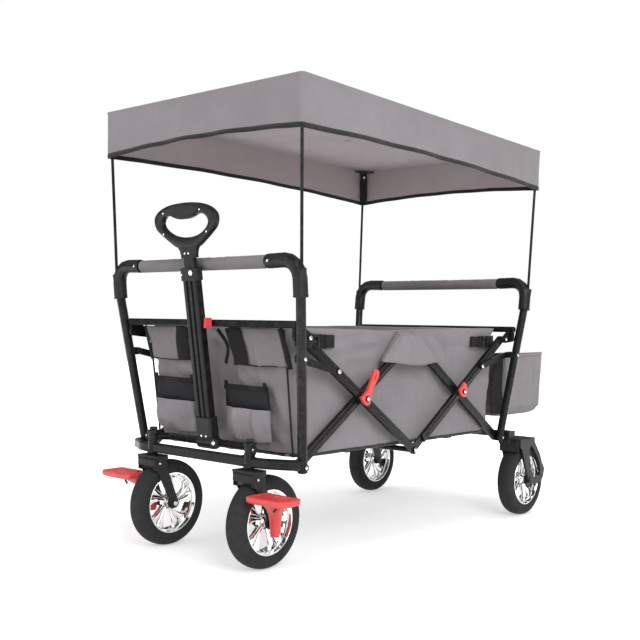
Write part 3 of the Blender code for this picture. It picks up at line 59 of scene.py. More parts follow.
# Driving sizes, in metres. Y is 0 at the folding frame's middle until a piece is placed.
MIDDLE_Y = middle_of("centre_tube").y
FOOT_Y = 0.43
HUB_Z = 0.234
BAR_ANGLE = math.radians(33.0)
BAR_LENGTH = FOOT_Y / math.cos(BAR_ANGLE)
TOP_Z = HUB_Z + BAR_LENGTH * math.sin(BAR_ANGLE)
CROSSING_Y = FOOT_Y / 2
CROSSING_Z = (HUB_Z + TOP_Z) / 2
CROSSBAR_Y = 0.474
PUSH_BAR_Y = 0.4985
PUSH_BAR_Z = middle_of("push_tube_front").z
POST_LEAN_X, POST_LEAN_Y, POST_X = 0.1028, 0.1637, 0.2637
SLEEVE_HALF_X = 0.2105
SLEEVE_RADIUS = 0.0145
CASTER_X, CASTER_Y = 0.163, 0.491
TUB_HALF_X = 0.2385
TUB_HALF_Y_BOTTOM = 0.414
TUB_HALF_Y_TOP = 0.456
TUB_BOTTOM_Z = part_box("tub")[0].z
TUB_TOP_Z = 0.538
TUB_CORNER = 0.03
CANOPY_HALF_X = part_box("canopy")[1].x
CANOPY_HALF_Y = 0.529
CANOPY_TOP_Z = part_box("canopy")[1].z
CANOPY_CORNER = 0.006
VALANCE_Z = 0.95
VALANCE_ARCH = 0.013
BAG_HALF_X = 0.246
BAG_FRONT_Y, BAG_REAR_Y = 0.486, 0.727
BAG_MIDDLE_Y = (BAG_FRONT_Y + BAG_REAR_Y) / 2
BAG_HALF_Y = (BAG_REAR_Y - BAG_FRONT_Y) / 2
BAG_TOP_Z, BAG_BOTTOM_Z = 0.477, 0.281
HANDLE_PIVOT = Vector((0.0, -0.462, 0.268))
HANDLE_LEAN = math.radians(9.4)
WHEEL_RADIUS = 0.104
TUB_FOLD_KEEP = 0.345
CANOPY_FOLD_KEEP = 0.44
SIDES = ((1, "left"), (-1, "right"))
ENDS = ((-1, "front"), (1, "rear"))
CORNERS = [(side, end, end_name, f"{end_name}_{side_name}") for side, side_name in SIDES for end, end_name in ENDS]


# Materials

def add_node(tree, kind, inputs=None, **settings):
    """A shader node whose inputs are given numbers, or sockets to link."""
    node = tree.nodes.new("ShaderNode" + kind)
    for name, value in settings.items():
        setattr(node, name, value)
    for name, value in (inputs or {}).items():
        if isinstance(value, bpy.types.NodeSocket):
            tree.links.new(value, node.inputs[name])
        else:
            node.inputs[name].default_value = value
    return node


def spread(tree, value, low, high, low_out, high_out):
    inputs = {"Value": value, "From Min": low, "From Max": high, "To Min": low_out, "To Max": high_out}
    return add_node(tree, "MapRange", inputs).outputs["Result"]


class Finish:
    """A Principled material with short calls for the textures that feed it."""

    def __init__(self, name, colour, roughness, metallic=0.0, **settings):
        self.material = bpy.data.materials.new(name)
        self.material.use_nodes = True
        self.tree = self.material.node_tree
        self.shader = self.tree.nodes["Principled BSDF"]
        self.colour = (*colour, 1.0)
        self.material.diffuse_color = self.colour
        settings |= {"Base_Color": self.colour, "Roughness": roughness, "Metallic": metallic}
        for key, value in settings.items():
            self.shader.inputs[key.replace("_", " ")].default_value = value
        self.place = add_node(self.tree, "TexCoord").outputs["Object"]
        self.normal = None

    def add(self, kind, output, inputs, **settings):
        return add_node(self.tree, kind, inputs, **settings).outputs[output]

    def noise(self, scale, detail=3.0, roughness=0.5, stretch=None):
        place = self.add("Mapping", "Vector", {"Scale": stretch, "Vector": self.place}) if stretch else self.place
        return self.add("TexNoise", "Fac", {"Scale": scale, "Detail": detail, "Roughness": roughness, "Vector": place})

    def bands(self, axis, period):
        """Fine parallel threads across one axis, one every period."""
        inputs = {"Scale": 2 * math.pi / (20 * period), "Distortion": 0.4, "Detail Scale": 2.0, "Vector": self.place}
        return self.add("TexWave", "Fac", inputs, bands_direction=axis)

    def cells(self, size):
        return self.add("TexVoronoi", "Distance", {"Scale": 1.0 / size, "Vector": self.place})

    def math(self, operation, first, second):
        return self.add("Math", "Value", {0: first, 1: second}, operation=operation)

    def tint(self, colour, factor):
        """Mixes another colour over the ones so far by a 0 to 1 factor."""
        base = self.shader.inputs["Base Color"]
        under = base.links[0].from_socket if base.is_linked else self.colour
        inputs = {"A": under, "B": (*colour, 1.0), "Factor": factor}
        self.tree.links.new(self.add("Mix", "Result", inputs, data_type="RGBA"), base)
        return self

    def mottled(self, colour, share, low, high, *texture):
        """Patches of another colour, up to share of it, as the noise goes from low to high."""
        return self.tint(colour, spread(self.tree, self.noise(*texture), low, high, 0.0, share))

    def rounded(self, radius):
        """Catches light along every edge, as a real small radius does."""
        self.normal = self.add("Bevel", "Normal", {"Radius": radius}, samples=4)
        return self

    def relief(self, height, distance, strength):
        inputs = {"Distance": distance, "Strength": strength, "Height": height}
        if self.normal is not None:
            inputs["Normal"] = self.normal
        self.normal = self.add("Bump", "Normal", inputs)
        return self

    def rough(self, low, high, *texture):
        self.tree.links.new(spread(self.tree, self.noise(*texture), 0.3, 0.7, low, high),
                            self.shader.inputs["Roughness"])
        return self

    def done(self):
        if self.normal is not None:
            self.tree.links.new(self.normal, self.shader.inputs["Normal"])
        return self.material


def woven(name, colour, pale, dark, thread=0.0009, crease_depth=0.0022):
    """Coated polyester: a fine plain weave, yarn flecks, broad mottling and soft creases."""
    cloth = Finish(name, colour, 0.82, Specular_IOR_Level=0.28, Sheen_Weight=0.22, Sheen_Roughness=0.45)
    cloth.mottled(pale, 0.55, 0.35, 0.68, 7.0, 4.0, 0.6).mottled(dark, 0.38, 0.45, 0.8, 900.0, 2.0, 0.7)
    threads = cloth.math("ADD", cloth.bands("X", thread), cloth.bands("Y", thread))
    threads = cloth.math("ADD", threads, cloth.bands("Z", thread))
    cloth.relief(cloth.noise(11.0, 5.0, 0.55, (1.0, 1.0, 1.6)), crease_depth, 0.55)
    return cloth.relief(threads, thread * 0.22, 0.5).rough(0.74, 0.92, 40.0).done()


def webbing(name, colour, rib=0.0022):
    """Ribbed black tape."""
    band = Finish(name, colour, 0.82, Specular_IOR_Level=0.2, Sheen_Weight=0.05)
    band.mottled(tuple(2.2 * c for c in colour), 0.6, 0.4, 0.75, 160.0, 3.0)
    band.relief(band.math("ADD", band.bands("Z", rib), band.bands("Y", rib)), 0.0005, 0.7)
    return band.relief(band.noise(1200.0, 2.0), 0.0002, 0.5).done()


def net(name):
    """Warp-knit pocket mesh: dark cells between paler yarns."""
    mesh = Finish(name, (0.023, 0.0225, 0.026), 0.8, Specular_IOR_Level=0.25)
    cells = mesh.cells(0.0024)
    mesh.tint((0.006, 0.006, 0.008), spread(mesh.tree, cells, 0.1, 0.36, 1.0, 0.0))
    return mesh.relief(cells, 0.0006, 0.9).done()


def coated_steel():
    """Black powder coat, with a paler rub in patches along its convex edges."""
    coat = Finish("powder_coat", (0.0065, 0.0065, 0.007), 0.26, Specular_IOR_Level=0.2).rounded(0.0014)
    coat.mottled((0.009, 0.009, 0.0095), 0.5, 0.4, 0.7, 22.0, 4.0)
    rub = spread(coat.tree, add_node(coat.tree, "NewGeometry").outputs["Pointiness"], 0.52, 0.62, 0.0, 0.3)
    patches = spread(coat.tree, coat.noise(60.0, 4.0), 0.42, 0.62, 0.0, 1.0)
    coat.tint((0.06, 0.058, 0.057), coat.math("MULTIPLY", rub, patches))
    return coat.relief(coat.noise(1500.0, 2.0), 0.00012, 0.5).rough(0.22, 0.36, 35.0, 4.0).done()


def moulded_plastic(name, colour, roughness):
    shell = Finish(name, colour, roughness, Specular_IOR_Level=0.28).rounded(0.001)
    shell.mottled(tuple(1.35 * c for c in colour), 0.35, 0.4, 0.72, 30.0, 4.0)
    return shell.relief(shell.cells(0.0009), 0.00012, 0.6).rough(roughness - 0.07, roughness + 0.08, 55.0, 3.0).done()


def red_plastic():
    shell = Finish("red_moulding", (0.82, 0.075, 0.07), 0.36, Specular_IOR_Level=0.5, Coat_Weight=0.12).rounded(0.0012)
    shell.mottled((0.7, 0.055, 0.055), 0.5, 0.4, 0.7, 26.0, 4.0)
    return shell.relief(shell.noise(1100.0, 2.0), 0.0001, 0.5).rough(0.3, 0.44, 70.0, 3.0).done()


def metal(name, colour, roughness, brushed=0.0):
    plate = Finish(name, colour, roughness, 1.0)
    plate.mottled(tuple(0.82 * c for c in colour), 0.4, 0.4, 0.7, 18.0, 4.0)
    if brushed:
        plate.relief(plate.noise(400.0, 3.0, 0.6, (1.0, 1.0, 8.0)), brushed, 0.5)
    return plate.rough(roughness * 0.7, roughness * 1.4, 90.0, 3.0).done()


def rubber():
    foam = Finish("foam_rubber", (0.0215, 0.0225, 0.024), 0.8, Specular_IOR_Level=0.35)
    foam.mottled((0.034, 0.0345, 0.036), 0.6, 0.42, 0.72, 20.0, 5.0, 0.65)
    foam.relief(foam.noise(420.0, 3.0, 0.6), 0.0007, 0.5).relief(foam.cells(0.0035), 0.0004, 0.35)
    return foam.rough(0.7, 0.9, 60.0, 4.0).done()


GREY = woven("grey_cloth", (0.262, 0.243, 0.254), (0.325, 0.303, 0.315), (0.15, 0.14, 0.147))
POUCH = woven("pouch_cloth", (0.272, 0.253, 0.265), (0.335, 0.313, 0.326), (0.16, 0.149, 0.156))
# A darker copy of the grey cloth, painted shade: it goes on the front flaps, which face away from the key light, and on
# the push bar sleeves.
SHADED = woven("shaded_cloth", (0.205, 0.191, 0.199), (0.262, 0.245, 0.254), (0.118, 0.11, 0.115))
# The roof's underside: a paler lining colour, raised further as painted light for the daylight that shines through the
# cloth.
LIT_LINING = woven("lit_lining", (0.52, 0.452, 0.462), (0.62, 0.54, 0.55), (0.33, 0.288, 0.296))
DARK_CLOTH = woven("black_cloth", (0.015, 0.0145, 0.0155), (0.024, 0.0235, 0.0245), (0.009, 0.009, 0.009))
TAPE = webbing("black_tape", (0.0105, 0.0105, 0.0115))
NET = net("pocket_net")
STEEL = coated_steel()
BLACK = moulded_plastic("black_moulding", (0.0115, 0.0115, 0.0125), 0.4)
CHARCOAL = moulded_plastic("charcoal_moulding", (0.0135, 0.0135, 0.0145), 0.42)
BUCKLE = moulded_plastic("buckle_moulding", (0.01, 0.01, 0.011), 0.38)
RED = red_plastic()
CHROME = metal("chrome_plate", (0.96, 0.955, 0.945), 0.1)
ZINC = metal("zinc_plate", (0.78, 0.78, 0.8), 0.24, 0.00005)
RUBBER = rubber()
# Each record slot's materials. The first is the one that its CAD nodes take.
SLOTS = {
    "black_steel": (STEEL,), "black_plastic": (BLACK, CHARCOAL, BUCKLE), "grey_plastic": (CHARCOAL,),
    "red_plastic": (RED,), "grey_fabric": (GREY, POUCH, SHADED), "black_fabric": (TAPE, DARK_CLOTH, NET),
    "bright_steel": (ZINC,), "rim_chrome": (CHROME,), "tyre_rubber": (RUBBER,),
}


# Mesh helpers

def raw_object(name, data):
    item = bpy.data.objects.new(name, data)
    bpy.context.scene.collection.objects.link(item)
    return item


def from_bmesh(name, bm, placed=True):
    """A smooth-shaded object. Placed ones are built with Y 0 at the folding frame's middle."""
    if placed:
        bmesh.ops.translate(bm, vec=(0.0, MIDDLE_Y, 0.0), verts=bm.verts)
    bmesh.ops.recalc_face_normals(bm, faces=bm.faces)
    mesh = bpy.data.meshes.new(name)
    bm.to_mesh(mesh)
    bm.free()
    mesh.shade_smooth()
    return raw_object(name, mesh)


def modified(item, **kinds):
    """The object with modifiers applied, each given as KIND={setting: value}."""
    for kind, settings in kinds.items():
        modifier = item.modifiers.new(kind.lower(), kind)
        for name, value in settings.items():
            setattr(modifier, name, value)
    mesh = bpy.data.meshes.new_from_object(item.evaluated_get(bpy.context.evaluated_depsgraph_get()))
    name = item.name
    bpy.data.objects.remove(item, do_unlink=True)
    mesh.name = name
    mesh.shade_smooth()
    return raw_object(name, mesh)


def thickened(item, thickness, offset=0.0):
    return modified(item, SOLIDIFY={"thickness": thickness, "offset": offset, "use_even_offset": False})


def finish(item, body, material, *, slot=None, sharp=None, squashed=None, stands_for=()):
    """Gives a piece its material and body, hides the nodes it stands for, and gives a piece on a folding part its own
    mesh.
    """
    if sharp:
        item.data.set_sharp_from_angle(angle=math.radians(sharp))
    item.data.materials.clear()
    item.data.materials.append(material)
    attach(item, body)
    slot or next(name for name, used in SLOTS.items() if material in used)
    if stands_for:
        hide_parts(*stands_for)
    if squashed:
        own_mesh(item)
    return item


def on_tub(item, material, **more):
    return finish(item, "root", material, squashed=TUB_FOLD_KEEP, **more)


def on_roof(item, material, **more):
    return finish(item, "root", material, squashed=CANOPY_FOLD_KEEP, **more)


def hard(name, bm, body, material, placed=True, **more):
    return finish(from_bmesh(name, bm, placed), body, material, **more)


def eased(t):
    t = max(0.0, min(1.0, t))
    return t * t * (3 - 2 * t)


def between(low, high, t):
    return low + (high - low) * t


def squared(value, power):
    """A power that keeps the sign, which makes a circle boxy."""
    return math.copysign(abs(value) ** power, value)


def turns(count):
    return (2 * math.pi * k / count for k in range(count))


def ripple(point, scale, seed=0.0):
    """Smooth noise from -1 to 1, the same each run."""
    return noise.noise(Vector(point) * scale + Vector((seed, seed * 1.7, -seed)))


def crease(point, scale, seed=0.0):
    """Narrow valleys from 0 to 1, as pulled cloth has."""
    return max(0.0, 1.0 - 3.2 * abs(ripple(point, scale, seed)))


def curve(before, a, b, after, s):
    """A smooth curve's point at share s of the way from a to b."""
    return 0.5 * ((2 * a) + (b - before) * s + (2 * before - 5 * a + 4 * b - after) * s * s
                  + (3 * a - before - 3 * b + after) * s ** 3)


def along(points, t):
    """A point on a smooth curve through points, t from 0 to 1."""
    points = [Vector(p) for p in points]
    spans = len(points) - 1
    k = min(int(t * spans), spans - 1)
    a, b = points[k], points[k + 1]
    before = points[k - 1] if k else a * 2 - b
    after = points[k + 2] if k + 2 <= spans else b * 2 - a
    return curve(before, a, b, after, t * spans - k)


def along_ring(points, t):
    """A point on a smooth closed curve through points."""
    count = len(points)
    k = int(t * count)
    return curve(*(Vector(points[(k + n) % count]) for n in (-1, 0, 1, 2)), t * count - k)


def bridge(bm, loops, closed=True):
    """Faces between each loop of vertices and the next."""
    for lower, upper in zip(loops, loops[1:]):
        count = len(lower)
        for k in range(count if closed else count - 1):
            n = (k + 1) % count
            bm.faces.new((lower[k], lower[n], upper[n], upper[k]))


def skin(bm, rings, first_cap=True, last_cap=True):
    """A skin through rings of the same number of points."""
    loops = [[bm.verts.new(p) for p in ring] for ring in rings]
    bridge(bm, loops)
    if first_cap:
        bm.faces.new(loops[0][::-1])
    if last_cap:
        bm.faces.new(loops[-1])


def skinned(name, rings, placed=True, first_cap=True, last_cap=True):
    bm = bmesh.new()
    skin(bm, rings, first_cap, last_cap)
    return from_bmesh(name, bm, placed)


def surface(name, point, columns, rows, wrap=False):
    """A sheet of quads through point(u, v), with u and v from 0 to 1."""
    bm = bmesh.new()
    count = columns if wrap else columns + 1
    bridge(bm, [[bm.verts.new(point(i / columns, j / rows)) for i in range(count)] for j in range(rows + 1)], wrap)
    return from_bmesh(name, bm)


def sewn_band(name, place, levels, columns):
    """A band round an outline through (v, how far out) levels. place(u, v) gives a point and its way out."""
    rows = []
    for v, out_by in levels:
        spots = [place(i / columns, v) for i in range(columns)]
        rows.append([here + Vector((out.x, out.y, 0.0)) * out_by for here, out in spots])
    across = [list(points) for points in zip(*rows)]
    return skinned(name, across + across[:1], first_cap=False, last_cap=False)


def tape(name, points, width, thickness, facing, steps=24):
    """A flat band along points. Its width lies across the path and square to facing."""
    facing = Vector(facing).normalized()
    rows = []
    for k in range(steps + 1):
        here = along(points, k / steps)
        ahead = along(points, min(1.0, (k + 0.5) / steps)) - along(points, max(0.0, (k - 0.5) / steps))
        across = ahead.cross(facing).normalized() * (width / 2)
        lift = across.cross(ahead).normalized() * (thickness / 2)
        if lift.dot(facing) < 0:
            lift.negate()
        rows.append([here + across * a + lift * b for a, b in (
            (-0.92, -1), (-1, 0), (-0.92, 1), (0, 1.15), (0.92, 1), (1, 0), (0.92, -1), (0, -1.15))])
    return skinned(name, rows)


def swept(name, points, sizes, facing, steps=20, sides=14, placed=True):
    """A rounded bar along points. Sizes are (half width, half depth) pairs spread along it."""
    facing = Vector(facing).normalized()
    rings = []
    for k in range(steps + 1):
        t = k / steps
        here = along(points, t)
        ahead = (along(points, min(1.0, t + 0.01)) - along(points, max(0.0, t - 0.01))).normalized()
        across = ahead.cross(facing).normalized()
        deep = across.cross(ahead).normalized()
        size = along([(*s, 0.0) for s in sizes], t)
        rings.append([here + across * size.x * squared(math.cos(a), 0.7) + deep * size.y * squared(math.sin(a), 0.7)
                      for a in turns(sides)])
    return skinned(name, rings, placed)


def lathe(bm, profile, place, sides, ring=False):
    """Turns (radius, height) points about place's own Z: a capped solid, or a ring of closed section."""
    loops = [[bm.verts.new(place @ Vector((radius * math.cos(a), radius * math.sin(a), height)))
              for a in turns(sides)] for radius, height in profile]
    if ring:
        bridge(bm, loops + loops[:1])
    else:
        bridge(bm, loops)
        bm.faces.new(loops[0][::-1])
        bm.faces.new(loops[-1])


def pointing(place, direction):
    turn = Vector(direction).to_track_quat("Z", "Y").to_matrix().to_4x4()
    return Matrix.Translation(Vector(place)) @ turn


def rivets(name, body, places):
    """Domed heads. Each is (place, direction, radius); the dome rises by a third of its radius."""
    bm = bmesh.new()
    for place, direction, radius in places:
        dome = [(radius * across, radius * up) for across, up in (
            (1.0, -0.12), (1.0, 0.06), (0.94, 0.18), (0.72, 0.3), (0.36, 0.36), (0.1, 0.37))]
        lathe(bm, dome, pointing(place, direction), 18)
    hard(name, bm, body, ZINC)


def moulded(name, node, body, material, voxel, rounds, keep):
    """Stands for a rigid node: the same shape with its edges and corners rounded, as moulding leaves them."""
    bm = bmesh.new()
    bm.from_mesh(NODES[node].data)
    item = modified(from_bmesh(name, bm, placed=False), REMESH={"mode": "VOXEL", "voxel_size": voxel},
                    SMOOTH={"factor": 0.5, "iterations": rounds}, DECIMATE={"ratio": keep})
    finish(item, body, material, stands_for=[node])


def rounded_box(bm, size, place, edge, segments=2):
    """A box with rounded edges at a point, or turned by a matrix."""
    made = bmesh.ops.create_cube(bm, size=1.0)["verts"]
    for vertex in made:
        vertex.co = Vector(c * s for c, s in zip(vertex.co, size))
    edges = list({e for v in made for e in v.link_edges})
    out = bmesh.ops.bevel(bm, geom=edges, offset=edge, segments=segments, affect="EDGES", profile=0.5)
    points = {v for f in out["faces"] for v in f.verts}
    matrix = place if isinstance(place, Matrix) else Matrix.Translation(place)
    bmesh.ops.transform(bm, matrix=matrix, verts=list(points))


def boxes(name, parts):
    """Rounded boxes in one piece. Each is (size, place or matrix, edge radius)."""
    bm = bmesh.new()
    for part in parts:
        rounded_box(bm, *part)
    return from_bmesh(name, bm)


def turned(name, profile, place, sides, ring=False, placed=True):
    bm = bmesh.new()
    lathe(bm, profile, place, sides, ring)
    return from_bmesh(name, bm, placed)


# Camera, light and stage

def make_camera():
    """The photograph's viewpoint: three-quarter, level with the tub's rim."""
    heading, pitch, roll = (math.radians(angle) for angle in (40.165, -0.423, 1.174))
    ahead = Vector((-math.sin(heading) * math.cos(pitch), math.cos(heading) * math.cos(pitch), -math.sin(pitch)))
    right = Vector((math.cos(heading), math.sin(heading), 0.0))
    up = right.cross(ahead)
    axes = right * math.cos(roll) + up * math.sin(roll), up * math.cos(roll) - right * math.sin(roll), -ahead
    data = bpy.data.cameras.new("photo_camera")
    data.sensor_width = 36.0
    data.lens = 931.046 * data.sensor_width / 640
    data.clip_end = 60.0
    camera = raw_object("photo_camera", data)
    turn = Matrix(axes).transposed().to_4x4()
    camera.matrix_world = Matrix.Translation((1.5935, -1.957 + MIDDLE_Y, 0.54)) @ turn
    bpy.context.scene.camera = camera


def make_world():
    """Plain white light, with a soft light and dark pattern for mirrors alone."""
    world = bpy.data.worlds.new("studio")
    bpy.context.scene.world = world
    world.use_nodes = True
    tree = world.node_tree
    background = tree.nodes["Background"]
    background.inputs["Color"].default_value = (1.0, 1.0, 1.0, 1.0)
    rays = add_node(tree, "LightPath").outputs
    direction = add_node(tree, "TexCoord").outputs["Generated"]
    room = add_node(tree, "TexNoise", {"Scale": 1.7, "Detail": 2.0, "Vector": direction}).outputs["Fac"]
    shade = spread(tree, room, 0.47, 0.55, 0.03, 1.0)
    mirrored = add_node(tree, "Mix", {"A": 0.62, "B": shade, "Factor": rays["Is Glossy Ray"]}).outputs["Result"]
    level = add_node(tree, "Mix", {"A": mirrored, "B": 1.0, "Factor": rays["Is Camera Ray"]}).outputs["Result"]
    tree.links.new(level, background.inputs["Strength"])


def make_floor():
    """A pale floor that glows white away from the wagon, to rays that show the floor itself."""
    floor = Finish("studio_floor", (0.84, 0.84, 0.85), 0.9, Specular_IOR_Level=0.1, Emission_Color=(1.0, 1.0, 1.0, 1.0))
    rays = add_node(floor.tree, "LightPath").outputs
    seen = rays["Is Camera Ray"]
    for name in ("Is Glossy Ray", "Is Transmission Ray"):
        seen = floor.math("MAXIMUM", seen, rays[name])
    away = floor.add("VectorMath", "Value", {0: floor.place, 1: (0.0, MIDDLE_Y, 0.0)}, operation="DISTANCE")
    glow = floor.math("MULTIPLY", seen, spread(floor.tree, away, 0.75, 2.0, 0.44, 1.2))
    floor.tree.links.new(glow, floor.shader.inputs["Emission Strength"])
    bm = bmesh.new()
    bmesh.ops.create_grid(bm, x_segments=2, y_segments=2, size=9.0)
    ground = from_bmesh("studio_floor", bm)
    ground.data.materials.append(floor.done())


def area_light(name, place, target, size, power):
    data = bpy.data.lights.new(name, "AREA")
    data.shape = "SQUARE"
    data.size = size
    data.energy = power
    raw_object(name, data).matrix_world = pointing(place, Vector(place) - Vector(target))


def dress_cad_nodes():
    for node in NODES.values():
        slot_name = node.data.materials[0].name if node.data.materials else "black_steel"
        chosen = next((used[0] for slot, used in SLOTS.items() if slot_name.startswith(slot)), STEEL)
        node.data.materials.clear()
        node.data.materials.append(chosen)


make_camera()
make_world()
make_floor()
area_light("key", (4.2, -2.4, 3.2), (0.0, 0.0, 0.45), 2.6, 144.0)
area_light("front_fill", (-1.6, -4.2, 1.8), (0.0, 0.0, 0.5), 2.4, 34.0)
area_light("top_fill", (0.4, 0.8, 4.6), (0.0, 0.0, 0.4), 3.0, 60.0)
bpy.context.scene.view_settings.view_transform = "Standard"
dress_cad_nodes()


# Cloth tub

def tub_share(z):
    return (z - TUB_BOTTOM_Z) / (TUB_TOP_Z - TUB_BOTTOM_Z)


def rounded_outline(half_x, half_y, corner, u):
    """A place and its outward direction, at share u of the way round a rounded rectangle."""
    straight_x, straight_y, arc = 2 * (half_x - corner), 2 * (half_y - corner), math.pi * corner / 2
    distance = (u % 1.0) * (2 * straight_x + 2 * straight_y + 4 * arc)
    for k, (sx, sy) in enumerate(((1, -1), (1, 1), (-1, 1), (-1, -1))):
        centre = Vector((sx * (half_x - corner), sy * (half_y - corner)))
        start = (k - 1) * math.pi / 2
        turn = start + min(distance, arc) / corner if distance <= arc else start + math.pi / 2
        out = Vector((math.cos(turn), math.sin(turn)))
        if distance <= arc:
            return centre + out * corner, out
        distance -= arc
        run = straight_y if k % 2 == 0 else straight_x
        if distance <= run:
            return centre + out * corner + Vector((-out.y, out.x)) * distance, out
        distance -= run
    return centre, out


def recess(x, z):
    """How far the front wall folds in behind the pull handle."""
    window = eased((x + 0.088) / 0.026) * eased((0.054 - x) / 0.017)
    return 0.052 * window * eased((z - TUB_BOTTOM_Z + 0.004) / 0.06)


def wall_wave(point, out, v):
    """How far the cloth stands back from its tight line: broad sags, small folds, pulled corners."""
    x, y, z = point
    broad = 0.0028 * (1 + ripple(point, 7.0, 3.1)) * math.sin(math.pi * min(1.0, v * 1.02))
    small = 0.002 * crease((x, y, z * 2.2), 9.0, 5.7)
    slack = 0.0026 * crease((x, y * 2.2, z * 0.8), 11.0, 8.2) * (1 - v * 0.4)
    top = 0.005 * crease((x * 0.8, y * 0.8 + z * 0.9, z * 2.6), 9.0, 4.0) * eased((v - 0.6) / 0.2)
    front = 0.0085 * crease((x * 1.3 + z * 0.7, y, z), 12.0, 6.5) * max(0.0, -out.y) if y < 0 else 0.0
    return broad + small + slack + top + front


def tub_point(u, v):
    """The cloth wall: u runs round the tub, v from the floor up to the rim."""
    z = between(TUB_BOTTOM_Z, TUB_TOP_Z, v)
    half_y = between(TUB_HALF_Y_BOTTOM, TUB_HALF_Y_TOP, v)
    edge = 0.005 * (1 - eased(v / 0.03))
    (x, y), out = rounded_outline(TUB_HALF_X - edge, half_y - edge, TUB_CORNER, u)
    along_y = max(0.0, 1 - (y / half_y) ** 2)
    along_x = max(0.0, 1 - (x / TUB_HALF_X) ** 2)
    side, end = abs(out.x), abs(out.y)
    inward = 0.006 * math.sin(math.pi * v) * (along_y * side + along_x * end) + wall_wave((x, y, z), out, v)
    if y < 0:
        inward += recess(x, z) * eased((end - 0.9) / 0.1)
    hem = 0.001 * eased((v - 0.945) / 0.01) - 0.0006 * eased((v - 0.985) / 0.015)
    x -= out.x * (inward - hem)
    y -= out.y * (inward - hem)
    dip = 0.0025 * (1 + ripple((x, y, 0.0), 9.0, 2.0)) * eased((v - 0.8) / 0.2) * (along_y * side + 0.4 * end)
    rise = 0.0085 * eased((y + 0.1) / 0.4) * eased((v - 0.5) / 0.5)
    return Vector((x, y, z - dip + rise))


def make_tub():
    columns, rows, inset = 280, 40, 0.005
    floor = []
    for t in (0.08, 0.25, 0.42, 0.58, 0.72, 0.84, 0.93, 0.985):
        ring = []
        for i in range(columns):
            place, _ = rounded_outline(TUB_HALF_X - inset, TUB_HALF_Y_BOTTOM - inset, TUB_CORNER, i / columns)
            x, y = place * t
            fold = 0.0012 * math.exp(-(((abs(y) % 0.207) - 0.1035) / 0.004) ** 2)
            ring.append((x, y, TUB_BOTTOM_Z + 0.0006 + fold))
        floor.append(ring)
    walls = [[tub_point(i / columns, (j / rows) ** 0.92) for i in range(columns)] for j in range(rows + 1)]
    tub = on_tub(thickened(skinned("tub_cloth", floor + walls, last_cap=False), 0.0018, -1.0), GREY, stands_for=["tub"])

    def place(u, v):
        half_y = between(TUB_HALF_Y_BOTTOM, TUB_HALF_Y_TOP, v)
        return tub_point(u, v), rounded_outline(TUB_HALF_X, half_y, TUB_CORNER, u)[1]

    low, middle, high = (tub_share(TUB_BOTTOM_Z + rise) for rise in (0.0005, 0.0045, 0.0085))
    levels = [(low, -0.001), (low, 0.0008), (middle, 0.00104), (high, 0.0008), (high, -0.001)]
    on_tub(sewn_band("tub_base_band", place, levels, columns), DARK_CLOTH)


def front_wall(x, z, proud=0.0):
    """A place on the front wall's outside, with the recess left out."""
    v = tub_share(z)
    inward = 0.006 * math.sin(math.pi * max(0.0, min(1.0, v))) * (1 - (x / TUB_HALF_X) ** 2)
    return Vector((x, -(between(TUB_HALF_Y_BOTTOM, TUB_HALF_Y_TOP, v) - inward + proud), z))


def on_wall(points, proud):
    return [front_wall(x, z, proud) for x, z in points]


def patch(name, corners, proud, thickness, bulge=0.0, sag=0.0, seed=0.0, columns=30, rows=22, wrinkle=0.003):
    """Cloth on the front wall. Corners are (x, z): top left, top right, bottom right, bottom left."""
    top_left, top_right, bottom_right, bottom_left = (Vector(c) for c in corners)

    def point(u, v):
        place = top_left.lerp(top_right, u).lerp(bottom_left.lerp(bottom_right, u), v)
        x, z = place.x, place.y - sag * math.sin(math.pi * u) * v
        belly = math.sin(math.pi * u) ** 0.6 * math.sin(math.pi * min(1.0, v * 0.62 + 0.3)) if bulge else 0.0
        fold = wrinkle * (crease((x, 0.0, z * 0.7), 15.0, seed) + 0.6 * ripple((x, 0.0, z), 24.0, seed + 2))
        return front_wall(x, z, proud + bulge * belly + fold)

    return thickened(surface(name, point, columns, rows), thickness)


